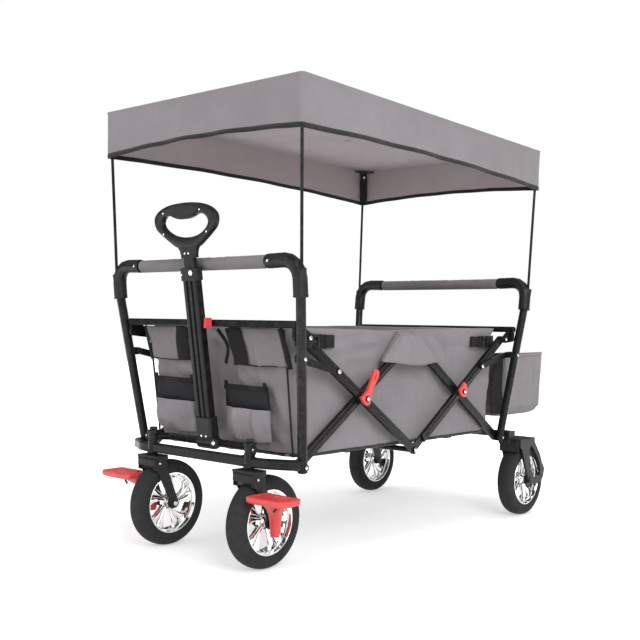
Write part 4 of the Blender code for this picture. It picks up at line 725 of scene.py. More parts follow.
def make_front_wall():
    """The front wall's two turned-down flaps, their straps and edges, and two pairs of pockets."""
    rim = TUB_TOP_Z - 0.004
    facing = (0.0, -1.0, 0.0)
    low_proud, high_proud = 0.0062, 0.0095
    flaps = (("left", [(0.05, rim), (0.2087, rim), (0.23, 0.4515), (0.058, 0.4525)], 4.0, 0.003),
             ("right", [(-0.233, rim), (-0.078, rim), (-0.078, 0.4555), (-0.22, 0.4565)], 9.0, 0.004))
    cloths = [patch("front_flap_" + name, corners, 0.0035, 0.0016, seed=seed, sag=sag, wrinkle=0.0034)
              for name, corners, seed, sag in flaps]
    # The flaps take the darker copy of the grey cloth, painted shade.
    for flap in cloths:
        on_tub(flap, SHADED)
    for name, width, proud, points in (
            ("strap_left", 0.046, high_proud, [(0.071, rim + 0.003), (0.079, 0.505), (0.087, 0.475), (0.089, 0.45)]),
            ("strap_right", 0.044, high_proud,
             [(-0.098, rim + 0.002), (-0.105, 0.503), (-0.105, 0.478), (-0.104, 0.4535)]),
            ("cord_band", 0.01, low_proud, [(0.02, rim - 0.004), (0.044, 0.5), (0.046, 0.48), (0.034, 0.4505)]),
            ("edge_band_left", 0.0135, low_proud, [(0.2175, rim + 0.001), (0.227, 0.5), (0.234, 0.474), (0.24, 0.446)]),
            ("edge_band_right", 0.0095, low_proud,
             [(-0.237, rim + 0.001), (-0.232, 0.5), (-0.227, 0.474), (-0.223, 0.453)])):
        on_tub(tape("front_" + name, on_wall(points, proud), width, 0.0018, facing), TAPE)
    for name, low, high, z in (("left", 0.06, 0.229, 0.4515), ("right", -0.219, -0.08, 0.456)):
        points = on_wall([(low, z), (between(low, high, 0.5), z - 0.003), (high, z)], 0.006)
        on_tub(tape("flap_hem_" + name, points, 0.0026, 0.0022, facing), DARK_CLOTH)

    pockets = (("left", 0.03, 0.164, 0.404, 0.35, 0.279), ("right", -0.212, -0.078, 0.411, 0.355, 0.283))
    for name, x0, x1, top, middle, bottom in pockets:
        corners = [(x0, top), (x1, top - 0.002), (x1, middle), (x0, middle - 0.003)]
        mesh = on_tub(patch("net_pocket_" + name, corners, 0.006, 0.001, bulge=0.008, seed=x0 * 50), NET)
        corners = [(x0 - 0.001, middle + 0.002), (x1 + 0.003, middle),
                   (x1 + 0.006, bottom), (x0 + 0.004, bottom + 0.004)]
        pouch = patch("pouch_" + name, corners, 0.007, 0.0018, bulge=0.019, sag=0.005, seed=x0 * 31 + 2,
                      columns=60, rows=44, wrinkle=0.0105)
        on_tub(pouch, POUCH)
        points = [(x0, top - 0.005), (between(x0, x1, 0.5), top - 0.0065), (x1, top - 0.007)]
        on_tub(tape("pocket_hem_" + name, on_wall(points, 0.014), 0.013, 0.002, facing), TAPE)
        for end_name, x in (("a", x0 + 0.004), ("b", x1 - 0.005)):
            points = on_wall([(x, top + 0.008), (x, top), (x, top - 0.012)], 0.011)
            on_tub(tape(f"pocket_tab_{name}_{end_name}", points, 0.011, 0.0026, facing, steps=8), TAPE)
        for end_name, x, slant in (("a", x0, -0.001), ("b", x1, 0.002)):
            points = on_wall([(x, top), (x + slant / 2, between(top, middle, 0.5)), (x + slant, middle)], 0.0085)
            on_tub(tape(f"net_edge_{name}_{end_name}", points, 0.0046, 0.0022, facing, steps=10), TAPE)

    for side, name in SIDES:
        points = [(side * x, z) for x, z in (
            (0.2255, rim - 0.002), (0.2255, 0.44), (0.224, 0.34), (0.224, TUB_BOTTOM_Z + 0.004))]
        piping = swept("corner_piping_" + name, on_wall(points, 0.0022), [(0.0017, 0.0026)] * 4, facing, 30, 8)
        on_tub(piping, DARK_CLOTH)


def make_side_flaps():
    """The cloth drawn over the upper pivots: a sharp fold in front, blending into the wall behind."""
    apex_y, apex_z = -0.034, TUB_TOP_Z - 0.006
    for side, name in SIDES:
        def point(u, v):
            y_low = between(-0.13, 0.113, u)
            z_low = 0.4485 + 0.0105 * (1 - u) ** 2.4 + 0.0065 * eased((u - 0.62) / 0.38) + 0.0012 * math.sin(9.0 * u)
            y = between(apex_y + 0.04 * (u - 0.3), y_low, v ** 0.92)
            y += 0.016 * eased((u - 0.6) / 0.4) * v * (1 - 0.6 * v)
            front, back, start = eased(u / 0.1), eased((1 - u) / 0.1), eased(v / 0.15)
            folds = 0.0012 * math.sin(2.6 * math.pi * u + 0.9 * v) * v
            folds += 0.001 * crease((u * 1.2, v * 0.4, 1.0), 5.0, 2.2)
            lift = start * back * (0.013 + 0.01 * front + folds)
            return Vector((side * (TUB_HALF_X + 0.0012 + max(0.0, lift)), y, between(apex_z, z_low, v)))

        def gusset_point(u, v):
            edge = point(0.0, v)
            return Vector((between(side * (TUB_HALF_X - 0.001), edge.x, u), edge.y + 0.01 * (1 - u) * v, edge.z))

        flap = on_tub(thickened(surface("side_flap_" + name, point, 56, 30), 0.0014), GREY)
        on_tub(thickened(surface("side_flap_gusset_" + name, gusset_point, 6, 24), 0.0012), GREY)
        hem_line = [point(k / 24, 1.0) for k in range(25)]
        on_tub(swept("side_flap_hem_" + name, hem_line, [(0.0013, 0.002)] * 3, (1, 0, 0), steps=72, sides=8), GREY)


# A side-release buckle's boxes: size, place along the strap, way out, edge radius and height.
BUCKLE_PARTS = [
    ((0.0086, 0.019, 0.033), 0.012, 0.0054, 0.0026, 0.0),
    ((0.0092, 0.004, 0.0345), 0.002, 0.0052, 0.0016, 0.0),
    ((0.0062, 0.015, 0.0072), -0.0048, 0.0048, 0.0016, 0.0124),
    ((0.0062, 0.015, 0.0072), -0.0048, 0.0048, 0.0016, -0.0124),
    ((0.0058, 0.015, 0.0086), -0.0048, 0.0046, 0.0012, 0.0),
    ((0.0086, 0.009, 0.0315), -0.0158, 0.0052, 0.0022, 0.0),
    ((0.0092, 0.0028, 0.033), -0.0228, 0.005, 0.0012, 0.0),
    ((0.0052, 0.005, 0.019), 0.015, 0.009, 0.0012, 0.0),
] + [((0.004, 0.0022, 0.032), -0.03 - 0.0072 * k, 0.0048, 0.0009, 0.0) for k in range(3)]


def make_buckles():
    """Side-release buckles with ribbed webbing, near the four upper corners of the long sides."""
    z, reach = 0.507, 0.379
    for side, end, _, name in CORNERS:
        def spot(out, y, dz=0.0):
            return side * (TUB_HALF_X + out), end * (reach + y), z + dz

        parts = [(size, spot(out, y, dz), edge) for size, y, out, edge, dz in BUCKLE_PARTS]
        on_tub(boxes("buckle_" + name, parts), BUCKLE)
        points = [spot(0.0036, -0.02), spot(0.0038, -0.034), spot(0.0022, -0.052), spot(0.0008, -0.078)]
        on_tub(tape("buckle_strap_" + name, points, 0.0295, 0.0026, (side, 0, 0), steps=16), TAPE)
        points = [spot(0.003, 0.018), spot(0.0012, 0.034, 0.002), spot(-0.002, 0.05, 0.004)]
        on_tub(tape("buckle_anchor_" + name, points, 0.0295, 0.0024, (side, 0, 0), steps=10), TAPE)


# Roof

def roof_drop(x, y):
    """The roof cloth's sag and its pulled creases, at a place on its top."""
    u, v = x / CANOPY_HALF_X, y / CANOPY_HALF_Y
    inside = max(0.0, 1 - u ** 4) * max(0.0, 1 - v ** 4)
    sag = 0.0095 * max(0.0, 1 - u * u) * max(0.0, 1 - v * v)
    pull = 0.003 * crease((x * 1.2 + y * 0.5, y * 0.7, 0.0), 7.0, 1.2) + 0.002 * (1 + ripple((x, y, 0.0), 16.0, 4.4))
    return sag + pull * inside


def canopy_point(u, v):
    """u runs round the roof's edge; v is 0 at the roof's middle, 0.5 at its edge and 1 at the hem."""
    (x, y), out = rounded_outline(CANOPY_HALF_X, CANOPY_HALF_Y, CANOPY_CORNER, u)
    if v <= 0.5:
        t = v / 0.5
        x, y = x * t, y * t
        return Vector((x, y, CANOPY_TOP_Z - 0.0006 - roof_drop(x, y) - 0.0016 * eased((t - 0.985) / 0.015)))
    down = (v - 0.5) / 0.5
    side = abs(out.x) > abs(out.y)
    reach = y / CANOPY_HALF_Y if side else x / CANOPY_HALF_X
    arch = VALANCE_ARCH * (1 - reach * reach)
    wave = 0.003 * math.sin(4.6 * math.pi * reach + (1.0 if side else 0.2)) * (1 - reach ** 4) * down ** 1.4
    wave += 0.0022 * ripple((x, y, 0.0), 8.0, 7.0) * down * (1 - reach ** 6)
    pucker = 0.001 * crease((x * 1.5, y * 1.5, down * 0.12), 13.0, 6.0)
    lean = 0.0012 + 0.003 * down + wave + pucker
    return Vector((x - out.x * lean, y - out.y * lean, between(CANOPY_TOP_Z - 0.0022, VALANCE_Z + arch + 0.0006, down)))


def make_canopy():
    columns, roof_rows, drop_rows = 336, 26, 16
    rows = [0.5 * (k / roof_rows) ** 0.8 for k in range(1, roof_rows + 1)]
    rows += [0.5 + 0.5 * k / drop_rows for k in range(1, drop_rows + 1)]
    rings = [[canopy_point(i / columns, v) for i in range(columns)] for v in rows]
    roof = thickened(skinned("canopy_cloth", rings, last_cap=False), 0.0012, -1.0)
    on_roof(roof, GREY, stands_for=["canopy"])
    # The inside faces take the paler lining, painted light from daylight shining through the cloth.
    roof.data.materials.append(LIT_LINING)
    for face in roof.data.polygons:
        here = face.center - Vector((0.0, MIDDLE_Y, 0.0))
        outward = Vector((here.x / CANOPY_HALF_X ** 2, here.y / CANOPY_HALF_Y ** 2, 0.0))
        inside = face.normal.z < -0.5 or (abs(face.normal.z) < 0.5 and face.normal.dot(outward) < 0)
        face.material_index = 1 if inside else 0
    width, length, drop = 2 * CANOPY_HALF_X, 2 * CANOPY_HALF_Y, CANOPY_TOP_Z - VALANCE_Z

    def place(u, v):
        return canopy_point(u, v), rounded_outline(CANOPY_HALF_X, CANOPY_HALF_Y, CANOPY_CORNER, u)[1]

    share = 0.5 * 0.0115 / drop
    levels = [(1.0 - share, -0.002), (1.0 - share, 0.0009), (1.0 - share / 2, 0.0014), (1.0, 0.0009), (1.0, -0.002)]
    on_roof(sewn_band("canopy_binding", place, levels, columns), DARK_CLOTH)


def make_canopy_corners():
    """Black pockets and gussets under the roof's corners, where the rods end."""
    inset, top, low = 0.015, CANOPY_TOP_Z - 0.006, VALANCE_Z + 0.01
    for sx, sy, _, name in CORNERS:
        x, y = sx * (CANOPY_HALF_X - inset), sy * (CANOPY_HALF_Y - inset)
        diagonal = Vector((-sx, -sy, 0.0)).normalized()
        points = [(x, y, between(top, low, t)) for t in (0.0, 0.4, 0.8, 1.0)]
        sizes = [(0.0105, 0.0058), (0.0115, 0.0066), (0.011, 0.0064), (0.0095, 0.0056)]
        on_roof(swept("canopy_pocket_" + name, points, sizes, diagonal, steps=16, sides=16), DARK_CLOTH)
        parts = [((a, b, 0.003), (x - sx * (a / 2 - 0.008), y - sy * (b / 2 - 0.008), top - 0.004), 0.0012)
                 for a, b in ((0.046, 0.012), (0.012, 0.046))]
        on_roof(boxes("canopy_gusset_" + name, parts), DARK_CLOTH)
        eye = Vector((x, y, top - 0.02)) + diagonal * 0.0058
        profile = [(0.004, 0.0), (0.004, 0.0012), (0.0034, 0.002), (0.0022, 0.002), (0.0018, 0.001)]
        on_roof(turned("canopy_eyelet_" + name, profile, pointing(eye, diagonal), 18), ZINC)


# Push bar sleeves

def make_sleeves():
    """Cloth sleeves round the push bars, sewn along the underside and a little slack there."""
    for sign, name in ENDS:
        def point(u, v):
            angle = 2 * math.pi * u
            c, s = math.cos(angle), math.sin(angle)
            x = between(-SLEEVE_HALF_X, SLEEVE_HALF_X, v)
            ends = eased((1 - abs(2 * v - 1)) / 0.02)
            radius = SLEEVE_RADIUS - 0.0012 + 0.0006 * ripple((x, c * 0.03, s * 0.03), 28.0)
            radius += 0.0022 * max(0.0, -c) ** 6 + 0.0007 * crease((x, angle * 0.01, 0.0), 34.0, 3.0)
            radius -= 0.0014 * (1 - ends)
            return Vector((x, sign * PUSH_BAR_Y + radius * s, PUSH_BAR_Z + radius * c))

        # The sleeve and its seam take the darker copy of the grey cloth, painted shade.
        sleeve = thickened(surface("push_sleeve_cloth_" + name, point, 40, 150, wrap=True), 0.0016, -1.0)
        finish(sleeve, name + "_frame", SHADED, stands_for=["push_sleeve_" + name])
        points = [(x, sign * PUSH_BAR_Y, PUSH_BAR_Z - SLEEVE_RADIUS - 0.0006) for x in
                  (-SLEEVE_HALF_X + 0.004, -0.07, 0.07, SLEEVE_HALF_X - 0.004)]
        seam = swept("push_sleeve_seam_" + name, points, [(0.0024, 0.001)] * 4, (0, 0, 1), steps=40, sides=8)
        finish(seam, name + "_frame", SHADED)


# Rear bag

def bag_point(u, v):
    """A boxy cloth bag: u runs round it, v from the middle of its base up to its mouth."""
    t = (v - 0.35) / 0.65
    (x, y), out = rounded_outline(BAG_HALF_X - 0.001, BAG_HALF_Y - 0.001, between(0.022, 0.008, eased(t)), u)
    if v < 0.35:
        s = v / 0.35
        base = 0.003 * ripple((x * s, y * s, 0.0), 9.0, 3.0) * (1 - s)
        lift = 0.014 * max(0.0, (s - 0.86) / 0.14) ** 2
        return Vector((x * s * 0.96, BAG_MIDDLE_Y + y * s * 0.94, BAG_BOTTOM_Z + 0.003 + base + lift))
    z = between(BAG_BOTTOM_Z + 0.017, BAG_TOP_Z - 0.001, t)
    along_x, along_y = max(0.0, 1 - (x / BAG_HALF_X) ** 2), max(0.0, 1 - (y / BAG_HALF_Y) ** 2)
    loose = abs(out.y) * along_x + abs(out.x) * along_y
    slump = 0.005 * (1 + ripple((x, y, z * 0.4), 13.0, 9.0)) * (0.35 + 0.65 * t) * loose
    folds = 0.003 * crease((x, y, z * 0.35), 15.0, 2.5) * loose ** 0.5
    step = 0.01 * (1 - eased(t / 0.09)) + max(0.0, slump + folds)
    dip = 0.01 * (abs(out.y) * along_x + 0.5 * abs(out.x) * along_y) * eased((t - 0.75) / 0.25)
    return Vector((x - out.x * step, BAG_MIDDLE_Y + y - out.y * step, z - dip))


def make_rear_bag():
    """A sagging open-topped bag."""
    columns, rows = 200, 52
    rings = [[bag_point(i / columns, 0.03 + 0.97 * j / rows) for i in range(columns)] for j in range(rows + 1)]
    bag = thickened(skinned("rear_bag_cloth", rings, last_cap=False), 0.0018, -1.0)
    finish(bag, "rear_frame", GREY, stands_for=["rear_bag"])


make_tub()
make_front_wall()
make_side_flaps()
make_buckles()
make_canopy()
make_canopy_corners()
make_sleeves()
make_rear_bag()


# Wheels

def both_halves(half):
    """A section's points and their mirror images, from one side to the other."""
    return half + [(radius, -height) for radius, height in reversed(half)]


TYRE_HALF = [(0.0735, 0.0206), (0.076, 0.0226), (0.08, 0.0236), (0.085, 0.0238), (0.0905, 0.0233), (0.0955, 0.0218),
             (0.0992, 0.019), (0.1016, 0.0148), (0.1031, 0.0098), (0.1039, 0.004)]
RIM_HALF = [(0.0733, 0.0204), (0.0726, 0.0214), (0.0708, 0.0215), (0.0697, 0.0203), (0.069, 0.0182), (0.0672, 0.0165),
            (0.066, 0.012), (0.0655, 0.006)]
RIM_WELL = [(0.07, -0.015), (0.0715, 0.0), (0.07, 0.015)]
HUB_HALF = [(0.0056, 0.0245), (0.0105, 0.0245), (0.0125, 0.023), (0.013, 0.015), (0.0165, 0.0095), (0.018, 0.006)]
HUB_CAP = [(0.01, 0.0), (0.0145, 0.0), (0.015, 0.003), (0.0135, 0.0062), (0.01, 0.0068)]
# A spoke's line: radius, degrees from its pair's middle, and way out.
SPOKE_LINE = [(0.015, 12.0, 0.0), (0.03, 9.6, 0.0012), (0.048, 10.8, 0.003), (0.061, 12.4, 0.0026), (0.068, 13.6, 0.0)]
SPOKE_SIZES = [(0.0036, 0.0074), (0.004, 0.0072), (0.0072, 0.0066), (0.0108, 0.0064), (0.0138, 0.0066)]


def make_wheel(name):
    """A foam tyre with round shoulders on a chromed rim with five pairs of curved spokes."""
    body = "wheel_" + name
    centre = middle_of("tyre_" + name)
    turn = Matrix.Translation(centre) @ Matrix.Rotation(math.pi / 2, 4, "Y")
    tyre = turned("tyre_foam_" + name, both_halves(TYRE_HALF), turn, 96, ring=True, placed=False)
    finish(tyre, body, RUBBER, stands_for=["tyre_" + name])
    bm = bmesh.new()
    lathe(bm, both_halves(RIM_HALF) + RIM_WELL, turn, 96, ring=True)
    lathe(bm, both_halves(HUB_HALF), turn, 48, ring=True)
    hard("rim_plated_" + name, bm, body, CHROME, False, sharp=50.0, stands_for=["rim_" + name])
    for pair in range(5):
        for arm, arm_name in ((-1, "a"), (1, "b")):
            points = []
            for radius, swing, out in SPOKE_LINE:
                angle = math.radians(72 * pair + arm * swing + 270 * radius)
                points.append(centre + Vector((out, radius * math.cos(angle), radius * math.sin(angle))))
            spoke = swept(f"spoke_{name}_{pair}_{arm_name}", points, SPOKE_SIZES, (1, 0, 0), 18, 16, placed=False)
            finish(spoke, body, CHROME)
    bm = bmesh.new()
    for side in (-1, 1):
        face = Matrix.Translation(centre + Vector((side * 0.018, 0.0, 0.0)))
        lathe(bm, HUB_CAP, face @ Matrix.Rotation(side * math.pi / 2, 4, "Y"), 36, ring=True)
    hard("hub_caps_" + name, bm, body, BLACK, False, sharp=50.0)


# Moulded parts

def arm_outline(front, back, top, skirt, axle_y):
    """An arm's side view: the box's cheek, then a taper down to a round end about the axle."""
    points = [(front, top), (front, skirt), (front + 0.012, skirt - 0.004)]
    for step in range(13):
        angle = math.radians(195 + 165 * step / 12)
        points.append((axle_y + 0.012 * math.cos(angle), WHEEL_RADIUS + 0.012 * math.sin(angle)))
    return points + [(back, top - 0.03), (back, top)]


def make_forks():
    """Caster forks: a short box over the wheel, two channel arms, the kingpin and the axle."""
    front, back = -CASTER_Y - 0.021, -CASTER_Y + 0.021
    axle_y = -CASTER_Y + 0.048
    outline = arm_outline(front, back, 0.223, 0.19, axle_y)
    for side, name in SIDES:
        centre_x, body = side * CASTER_X, "caster_" + name
        bm = bmesh.new()
        for edge in (-1, 1):
            face = bm.faces.new([bm.verts.new((centre_x + edge * 0.0315, y, z)) for y, z in outline])
            rim = bmesh.ops.inset_region(bm, faces=[face], thickness=0.0034, depth=0.0)
            back_side = bmesh.ops.extrude_face_region(bm, geom=[face] + rim["faces"])
            moved = [g for g in back_side["geom"] if isinstance(g, bmesh.types.BMVert)]
            bmesh.ops.translate(bm, verts=moved, vec=(-edge * 0.004, 0.0, 0.0))
            bmesh.ops.translate(bm, verts=list(face.verts), vec=(-edge * 0.0026, 0.0, 0.0))
        rounded_box(bm, (0.064, 0.042, 0.0125), (centre_x, -CASTER_Y, 0.218), 0.0018, 3)
        rounded_box(bm, (0.0625, 0.004, 0.025), (centre_x, front + 0.002, 0.211), 0.0014)
        slope = Matrix.Translation((centre_x, front + 0.0068, 0.195)) @ Matrix.Rotation(0.7, 4, "X")
        rounded_box(bm, (0.059, 0.0036, 0.014), slope, 0.0012)
        rounded_box(bm, (0.066, 0.0036, 0.006), (centre_x, front + 0.0012, 0.2215), 0.0014)
        hard("fork_" + name, bm, body, CHARCOAL, sharp=35.0, stands_for=["caster_fork_" + name])
        bm = bmesh.new()
        upright = Matrix.Translation((centre_x, -CASTER_Y, 0.0))
        lathe(bm, [(0.0058, 0.219), (0.0058, 0.2865)], upright, 24)
        race = [(0.0055, 0.2235), (0.0112, 0.2235), (0.0115, 0.224), (0.0115, 0.2264), (0.0055, 0.2266)]
        lathe(bm, race, upright, 32, ring=True)
        lathe(bm, [(0.0085, 0.2842), (0.0095, 0.285), (0.0095, 0.29), (0.0086, 0.2909)], upright, 6)
        lathe(bm, [(0.0048, -0.033), (0.0048, 0.04)], pointing((centre_x, axle_y, WHEEL_RADIUS), (side, 0, 0)), 20)
        hard("fork_pins_" + name, bm, body, STEEL, sharp=35.0)
        bolts = [((centre_x - way * 0.0312, y, z), (-way, 0, 0), radius) for way, y, z, radius in (
            (side, -CASTER_Y - 0.004, 0.205, 0.0032), (-side, -CASTER_Y - 0.004, 0.205, 0.0032),
            (side, axle_y, WHEEL_RADIUS, 0.0062))]
        rivets("fork_bolts_" + name, body, bolts)


def make_moulded_parts():
    """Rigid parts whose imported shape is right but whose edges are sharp."""
    for _, end in ENDS:
        for _, side in SIDES:
            moulded(f"elbow_moulding_{end}_{side}", f"elbow_{end}_{side}", end + "_frame", BLACK, 0.0014, 5, 0.5)
    for _, side in SIDES:
        moulded("catch_moulding_" + side, "latch_catch_rear_" + side, "inner_bars_rear", RED, 0.0006, 4, 0.6)
        moulded("lever_moulding_" + side, "latch_lever_" + side, "latch_" + side, RED, 0.0006, 4, 0.6)
    moulded("handle_foot_moulding", "handle_foot", "handle", BLACK, 0.001, 4, 0.5)
    moulded("handle_collar_moulding", "handle_collar", "handle", BLACK, 0.0005, 3, 0.35)
    moulded("handle_clip_moulding", "handle_clip", "front_frame", RED, 0.0008, 3, 0.6)


def tray(low, high, levels, corner=0.01, steps=5):
    """A rounded rectangle's rings through levels of (z, inset)."""
    (x0, y0), (x1, y1) = low, high
    rings = []
    for z, inset in levels:
        ring = []
        radius = max(0.002, corner - inset * 0.5)
        for cx, cy, start in ((x1, y1, 0), (x0, y1, 90), (x0, y0, 180), (x1, y0, 270)):
            sx, sy = (1 if cx == x1 else -1), (1 if cy == y1 else -1)
            for k in range(steps + 1):
                angle = math.radians(start + 90 * k / steps)
                ring.append((cx - sx * (inset + radius) + radius * math.cos(angle),
                             cy - sy * (inset + radius) + radius * math.sin(angle), z))
        rings.append(ring)
    return rings


PEDAL_LEVELS = [(0.16, 0.01), (0.1612, 0.0075), (0.163, 0.003), (0.1655, 0.0006), (0.1685, 0.0), (0.1735, 0.0),
                (0.1755, 0.0006), (0.1764, 0.002), (0.1764, 0.007), (0.175, 0.0082), (0.1742, 0.011)]
# The post's rings: height, centre in X and Y, and half sizes.
STEM_LEVELS = [(0.0786, 0.2085, -0.453, 0.0086, 0.0086), (0.0796, 0.2085, -0.453, 0.0098, 0.0098),
               (0.09, 0.2085, -0.453, 0.0108, 0.0112), (0.113, 0.2105, -0.456, 0.0122, 0.0124),
               (0.129, 0.2155, -0.462, 0.0152, 0.0136), (0.142, 0.224, -0.472, 0.021, 0.0158),
               (0.153, 0.236, -0.484, 0.03, 0.019), (0.1625, 0.25, -0.498, 0.042, 0.024)]


def make_pedals():
    """Each foot pedal: a tray-topped plate on a flared post that covers the axle's end."""
    for side, name in SIDES:
        body = "brake_" + name
        bm = bmesh.new()
        x0, x1 = sorted((side * 0.1958, side * 0.303))
        skin(bm, tray((x0, -0.5395), (x1, -0.473), PEDAL_LEVELS))
        rounded_box(bm, (0.05, 0.01, 0.004), (side * 0.248, -0.486, 0.1752), 0.0016, 3)
        hard("pedal_plate_" + name, bm, body, RED, sharp=38.0, stands_for=["brake_pedal_" + name])
        rings = [[(side * (x + a * squared(math.cos(t), 0.8)), y + b * squared(math.sin(t), 0.8), z)
                  for t in turns(32)] for z, x, y, a, b in STEM_LEVELS]
        finish(skinned("pedal_stem_" + name, rings), body, RED, sharp=60.0)
        section = [(0.0055, -0.004), (0.014, -0.004), (0.014, 0.004), (0.0055, 0.004)]
        axle = pointing((side * 0.2005, -0.443, WHEEL_RADIUS), (side, 0, 0))
        finish(turned("pedal_boss_" + name, section, axle, 32, ring=True), body, RED, sharp=38.0)
        slot = Matrix.Translation((side * 0.2515, -0.501, 0.149)) @ Matrix.Rotation(side * -0.75, 4, "Y")
        finish(boxes("pedal_slot_" + name, [((0.015, 0.004, 0.0042), slot, 0.0012)]), body, STEEL)


# Pull handle. Its own places are (x, across, u), with u up the handle from its pivot.
HANDLE = Matrix.Translation(HANDLE_PIVOT) @ Matrix.Rotation(HANDLE_LEAN, 4, "X")
HANDLE_FRONT = HANDLE.to_3x3() @ Vector((0.0, -1.0, 0.0))
GRIP_TOP = 0.554
GRIP_HALF_DEPTH = 0.01
GRIP_OUTER = [(0.0, 0.0), (0.046, -0.003), (0.08, -0.0125), (0.099, -0.0265), (0.103, -0.041), (0.097, -0.057),
              (0.082, -0.07), (0.06, -0.0855), (0.034, -0.101), (0.0, -0.1075)]
GRIP_INNER = [(0.0, -0.031), (0.034, -0.0285), (0.059, -0.028), (0.072, -0.035), (0.077, -0.0455), (0.072, -0.0555),
              (0.06, -0.065), (0.042, -0.073), (0.02, -0.0775), (0.0, -0.0785)]
NECK_HEIGHTS = (0.462, 0.454, 0.446, 0.436, 0.4285)
NECK_SIZES = [(0.043, 0.0096), (0.035, 0.0098), (0.029, 0.01), (0.0256, 0.01), (0.0252, 0.0104)]


def on_handle(x, across, u):
    return HANDLE @ Vector((x, across, u))


def make_grip():
    """The D-shaped grip with its inset pad, screws and neck."""
    lines = [line + [(-x, u) for x, u in line[-2:0:-1]] for line in (GRIP_OUTER, GRIP_INNER)]
    rings = []
    for k in range(112):
        outer, inner = (along_ring(line, k / 112) for line in lines)
        middle, reach = (outer + inner) / 2, (outer - inner) / 2
        ring = []
        for angle in turns(20):
            flat = middle + reach * squared(math.cos(angle), 0.62)
            ring.append(on_handle(flat.x, GRIP_HALF_DEPTH * squared(math.sin(angle), 0.62), GRIP_TOP + flat.y))
        rings.append(ring)
    grip = skinned("grip_loop", rings + rings[:1], first_cap=False, last_cap=False)
    finish(grip, "handle_extension", BLACK, stands_for=["handle_grip"])
    neck = swept("grip_neck", [on_handle(0.0, 0.0, u) for u in NECK_HEIGHTS], NECK_SIZES, (0, -1, 0), 24, 32)
    finish(neck, "handle_extension", BLACK, sharp=50.0)
    face, lip, back = -GRIP_HALF_DEPTH - 0.0022, -GRIP_HALF_DEPTH - 0.0006, GRIP_HALF_DEPTH * 0.6
    rows = []
    for k in range(41):
        across = 2 * k / 40 - 1
        top = GRIP_TOP - 0.005 - 0.0085 * across * across
        low = min(GRIP_TOP - 0.0375 + 0.0225 * across * across, top - 0.0008)
        corners = [(top, lip), (top - 0.001, face), (low + 0.001, face), (low, lip), (low, back), (top, back)]
        rows.append([on_handle(0.06 * across, depth, u) for u, depth in corners])
    finish(skinned("grip_pad", rows), "handle_extension", CHARCOAL, sharp=40.0)
    for name, body, depth, radius, spots in (
            ("grip_screws", "handle_extension", 0.0002 - GRIP_HALF_DEPTH, 0.0026,
             ((-0.066, 0.534), (0.056, 0.536), (-0.072, 0.486), (0.072, 0.486))),
            ("grip_neck_screws", "handle_extension", 0.0004 - GRIP_HALF_DEPTH, 0.0028, ((-0.006, 0.44), (0.006, 0.44))),
            ("collar_screws", "handle", -0.013, 0.003, ((-0.0205, 0.3915),))):
        rivets(name, body, [(on_handle(x, depth, u), HANDLE_FRONT, radius) for x, u in spots])


def make_rail():
    """The outer handle tube with two deep grooves down its front and back."""
    w, d, corner, deep = 0.02175, 0.01025, 0.0028, 0.0034
    low, high, chamfer, stop_u = 0.0225, 0.3846, 0.0008, 0.302
    front = []
    for step in range(5):
        angle = math.pi + step * math.pi / 8
        front.append((-w + corner + corner * math.cos(angle), -d + corner + corner * math.sin(angle)))
    groove = [(0.004, 0.0), (0.0034, 0.0005), (0.003, deep)]
    for x in (-0.0076, 0.0076):
        front += [(x - half, -d + rise) for half, rise in groove]
        front += [(x + half, -d + rise) for half, rise in reversed(groove)]
    front += [(-x, y) for x, y in front[4::-1]]
    outline = front + [(-x, -y) for x, y in front]
    rings = [[on_handle(x - math.copysign(shrink, x), y - math.copysign(shrink, y), u) for x, y in outline]
             for u, shrink in ((low, 0.0006), (low + chamfer, 0.0), (high - chamfer, 0.0), (high, 0.0006))]
    finish(skinned("rail_tube", rings), "handle", STEEL, sharp=32.0, stands_for=["handle_rail"])
    stops = [((0.004, 0.006, 0.012), HANDLE @ Matrix.Translation((x, 0.0, stop_u)), 0.0012) for x in (0.0225, -0.0225)]
    finish(boxes("rail_stops", stops), "handle", BLACK)


def make_handle_foot_details():
    """Rivets and a slot in the foot, and the bright end of the cross yoke beside it."""
    rivets("handle_foot_rivets", "handle",
           [(on_handle(x, -0.0134, 0.016), HANDLE_FRONT, 0.0036) for x in (-0.0075, 0.0075)])
    opening = [((0.007, 0.002, 0.015), HANDLE @ Matrix.Translation((0.0, -0.013, 0.04)), 0.0009)]
    finish(boxes("handle_foot_slot", opening), "handle", STEEL, slot="black_plastic")
    profile = [(0.012, -0.008), (0.013, -0.005), (0.013, 0.003), (0.0118, 0.0055), (0.008, 0.0062)]
    knob = turned("yoke_knob", profile, pointing(HANDLE_PIVOT + Vector((0.033, -0.0105, 0.0)), (0.0, -1.0, 0.0)), 32)
    finish(knob, "front_frame", BLACK, sharp=50.0)
    rivets("yoke_knob_bolt", "front_frame", [(HANDLE_PIVOT + Vector((0.033, -0.0166, 0.0)), (0.0, -1.0, 0.0), 0.0062)])


# Folding frame

def make_bar_ribs():
    """The pressed rib along the outer face of every folding bar."""
    sizes = [(0.004, 0.0006), (0.0056, 0.0012), (0.0056, 0.0012), (0.004, 0.0006)]
    for side, end, end_name, name in CORNERS:
        for layer, start, stop, face in (("outer", (0.0, HUB_Z), (end * FOOT_Y, TOP_Z), 0.2633),
                                         ("inner", (0.0, TOP_Z), (end * FOOT_Y, HUB_Z), 0.2513)):
            a, b = Vector(start), Vector(stop)
            direction = (b - a).normalized()
            first, last = a + direction * 0.058, b - direction * 0.02
            points = [(side * face, *first.lerp(last, t)) for t in (0.0, 0.33, 0.66, 1.0)]
            rib = swept(f"bar_rib_{layer}_{name}", points, sizes, (side, 0, 0), steps=20, sides=16)
            finish(rib, f"{layer}_bars_{end_name}", STEEL)


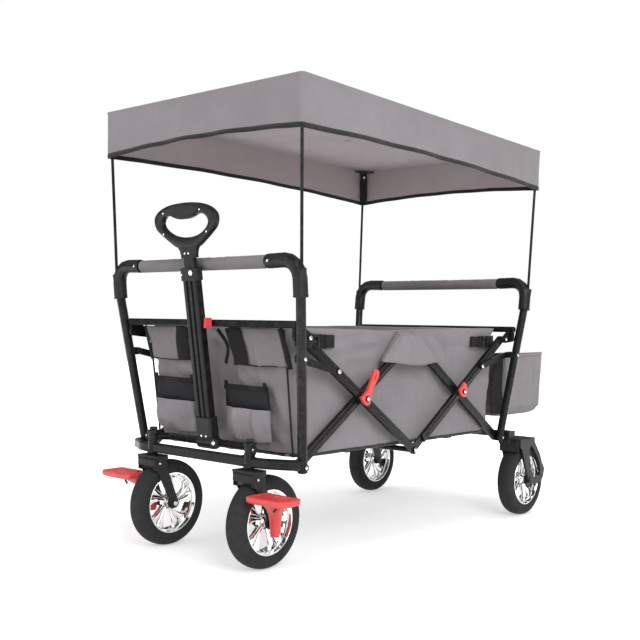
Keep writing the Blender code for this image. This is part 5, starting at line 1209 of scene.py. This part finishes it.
def make_rivets():
    """Bright domed heads where the frame turns."""
    stay_reach, lug_z = 0.135, 0.4704
    lug_rise = lug_z - HUB_Z
    stay_y = FOOT_Y - stay_reach * math.cos(BAR_ANGLE)
    stay_z = HUB_Z + (BAR_LENGTH - stay_reach) * math.sin(BAR_ANGLE)
    lug = (POST_X + POST_LEAN_X * lug_rise + 0.0104, FOOT_Y + POST_LEAN_Y * lug_rise - 0.002, lug_z)
    for side, name in SIDES:
        def heads(label, body, *spots, end=1):
            rivets(label, body, [((side * x, end * y, z), (side, 0.0, 0.0), radius) for x, y, z, radius in spots])

        heads("hub_rivet_" + name, "root", (0.2664, 0.0, HUB_Z, 0.0062))
        heads("top_rivet_" + name, "inner_bars_front", (0.254, 0.0, TOP_Z, 0.0056))
        for end, end_name in ENDS:
            label = f"{end_name}_{name}"
            crossing = (0.2772, CROSSING_Y, CROSSING_Z, 0.0054)
            heads("crossing_rivet_" + label, "outer_bars_" + end_name, crossing, end=end)
            heads("stay_rivet_" + label, "stays_" + end_name, (0.2708, stay_y, stay_z, 0.0056), end=end)
            heads("post_rivet_" + label, end_name + "_frame", (0.275, FOOT_Y, HUB_Z, 0.0056), (*lug, 0.0046), end=end)
            heads("bracket_rivet_" + label, end_name + "_frame", (0.28, FOOT_Y, TOP_Z + 0.002, 0.005), end=end)


def make_frame_details():
    """Screws on the elbows, collars on the caster sleeves and webbing under the tub."""
    lip = [(0.012, -0.0018), (0.0166, -0.0016), (0.017, 0.0), (0.0166, 0.0018), (0.012, 0.002)]
    lip_rise = 0.37
    for side, name in SIDES:
        for end, end_name in ENDS:
            label, body, y = f"{end_name}_{name}", end_name + "_frame", end * PUSH_BAR_Y
            rivets("elbow_screw_" + label, body, [((side * 0.224, y + end * 0.0158, PUSH_BAR_Z), (0, end, 0), 0.0032),
                                                  ((side * 0.224, y, PUSH_BAR_Z - 0.016), (0, 0, -1), 0.0026)])
            axis = Vector((side * POST_LEAN_X, end * POST_LEAN_Y, 1.0)).normalized()
            low = (side * (POST_X + POST_LEAN_X * lip_rise), end * (FOOT_Y + POST_LEAN_Y * lip_rise), HUB_Z + lip_rise)
            finish(turned("elbow_lip_" + label, lip, pointing(low, axis), 40, ring=True), body, BLACK, sharp=40.0)
        bm = bmesh.new()
        x = side * CASTER_X
        for z, radius, half in ((0.2795, 0.0146, 0.0036), (0.2325, 0.0146, 0.004), (0.259, 0.0136, 0.0016)):
            section = [(0.0118, -half), (radius - 0.0008, -half), (radius, -half * 0.6), (radius, half * 0.6),
                       (radius - 0.0008, half), (0.0118, half)]
            lathe(bm, section, Matrix.Translation((x, -CASTER_Y, z)), 36, ring=True)
        rounded_box(bm, (0.012, 0.008, 0.013), (x + side * 0.0165, -CASTER_Y - 0.004, 0.269), 0.002)
        rounded_box(bm, (0.01, 0.007, 0.006), (x - side * 0.0155, -CASTER_Y - 0.002, 0.252), 0.0016)
        hard("sleeve_fittings_" + name, bm, "front_frame", BLACK, sharp=40.0)
        bolt = ((x + side * 0.0165, -CASTER_Y - 0.0082, 0.27), (0, -1, 0), 0.0022)
        rivets("sleeve_bolt_" + name, "front_frame", [bolt])
    for index, y in enumerate((-0.215, 0.215)):
        points = [(x, y, TUB_BOTTOM_Z - 0.0022) for x in (-TUB_HALF_X + 0.012, -0.08, 0.08, TUB_HALF_X - 0.012)]
        on_tub(tape(f"floor_strap_{index}", points, 0.034, 0.0024, (0, 0, -1)), TAPE)


def make_bag_details():
    """The bag's turned hem, side gussets toward the frame and hanging straps."""
    def place(u, v):
        here = bag_point(u, v)
        out = Vector((squared(here.x / BAG_HALF_X, 6), squared((here.y - BAG_MIDDLE_Y) / BAG_HALF_Y, 6), 0.0))
        return here, out.normalized()

    levels = [(0.97, -0.002), (0.97, 0.0008), (0.985, 0.0012), (1.0, 0.0008), (1.0, -0.002)]
    finish(sewn_band("rear_bag_hem", place, levels, 200), "rear_frame", GREY)
    for side, name in SIDES:
        def gusset(u, v):
            y, z = between(0.464, BAG_FRONT_Y + 0.016, u), between(0.473, 0.296, v)
            lean = 0.003 * ripple((y * 2, z, side), 15.0, 3.0) - 0.004 * math.sin(math.pi * v)
            return Vector((side * (BAG_HALF_X - 0.0035 - 0.016 * (1 - u) + lean), y - 0.02 * v * (1 - u), z))

        panel = thickened(surface("rear_bag_gusset_" + name, gusset, 10, 24), 0.0014)
        finish(panel, "rear_frame", DARK_CLOTH)
        points = [(side * 0.18, y, z) for y, z in ((CROSSBAR_Y + 0.0095, 0.54), (CROSSBAR_Y + 0.0105, 0.51),
                                                   (BAG_FRONT_Y - 0.001, 0.47), (BAG_FRONT_Y - 0.0012, 0.44))]
        finish(tape("rear_bag_strap_" + name, points, 0.0375, 0.002, (0, -1, 0)), "rear_frame", TAPE)


for wheel in ("front_left", "front_right", "rear_left", "rear_right"):
    make_wheel(wheel)
make_moulded_parts()
make_forks()
make_pedals()
make_grip()
make_rail()
make_handle_foot_details()
make_bar_ribs()
make_rivets()
make_frame_details()
make_bag_details()
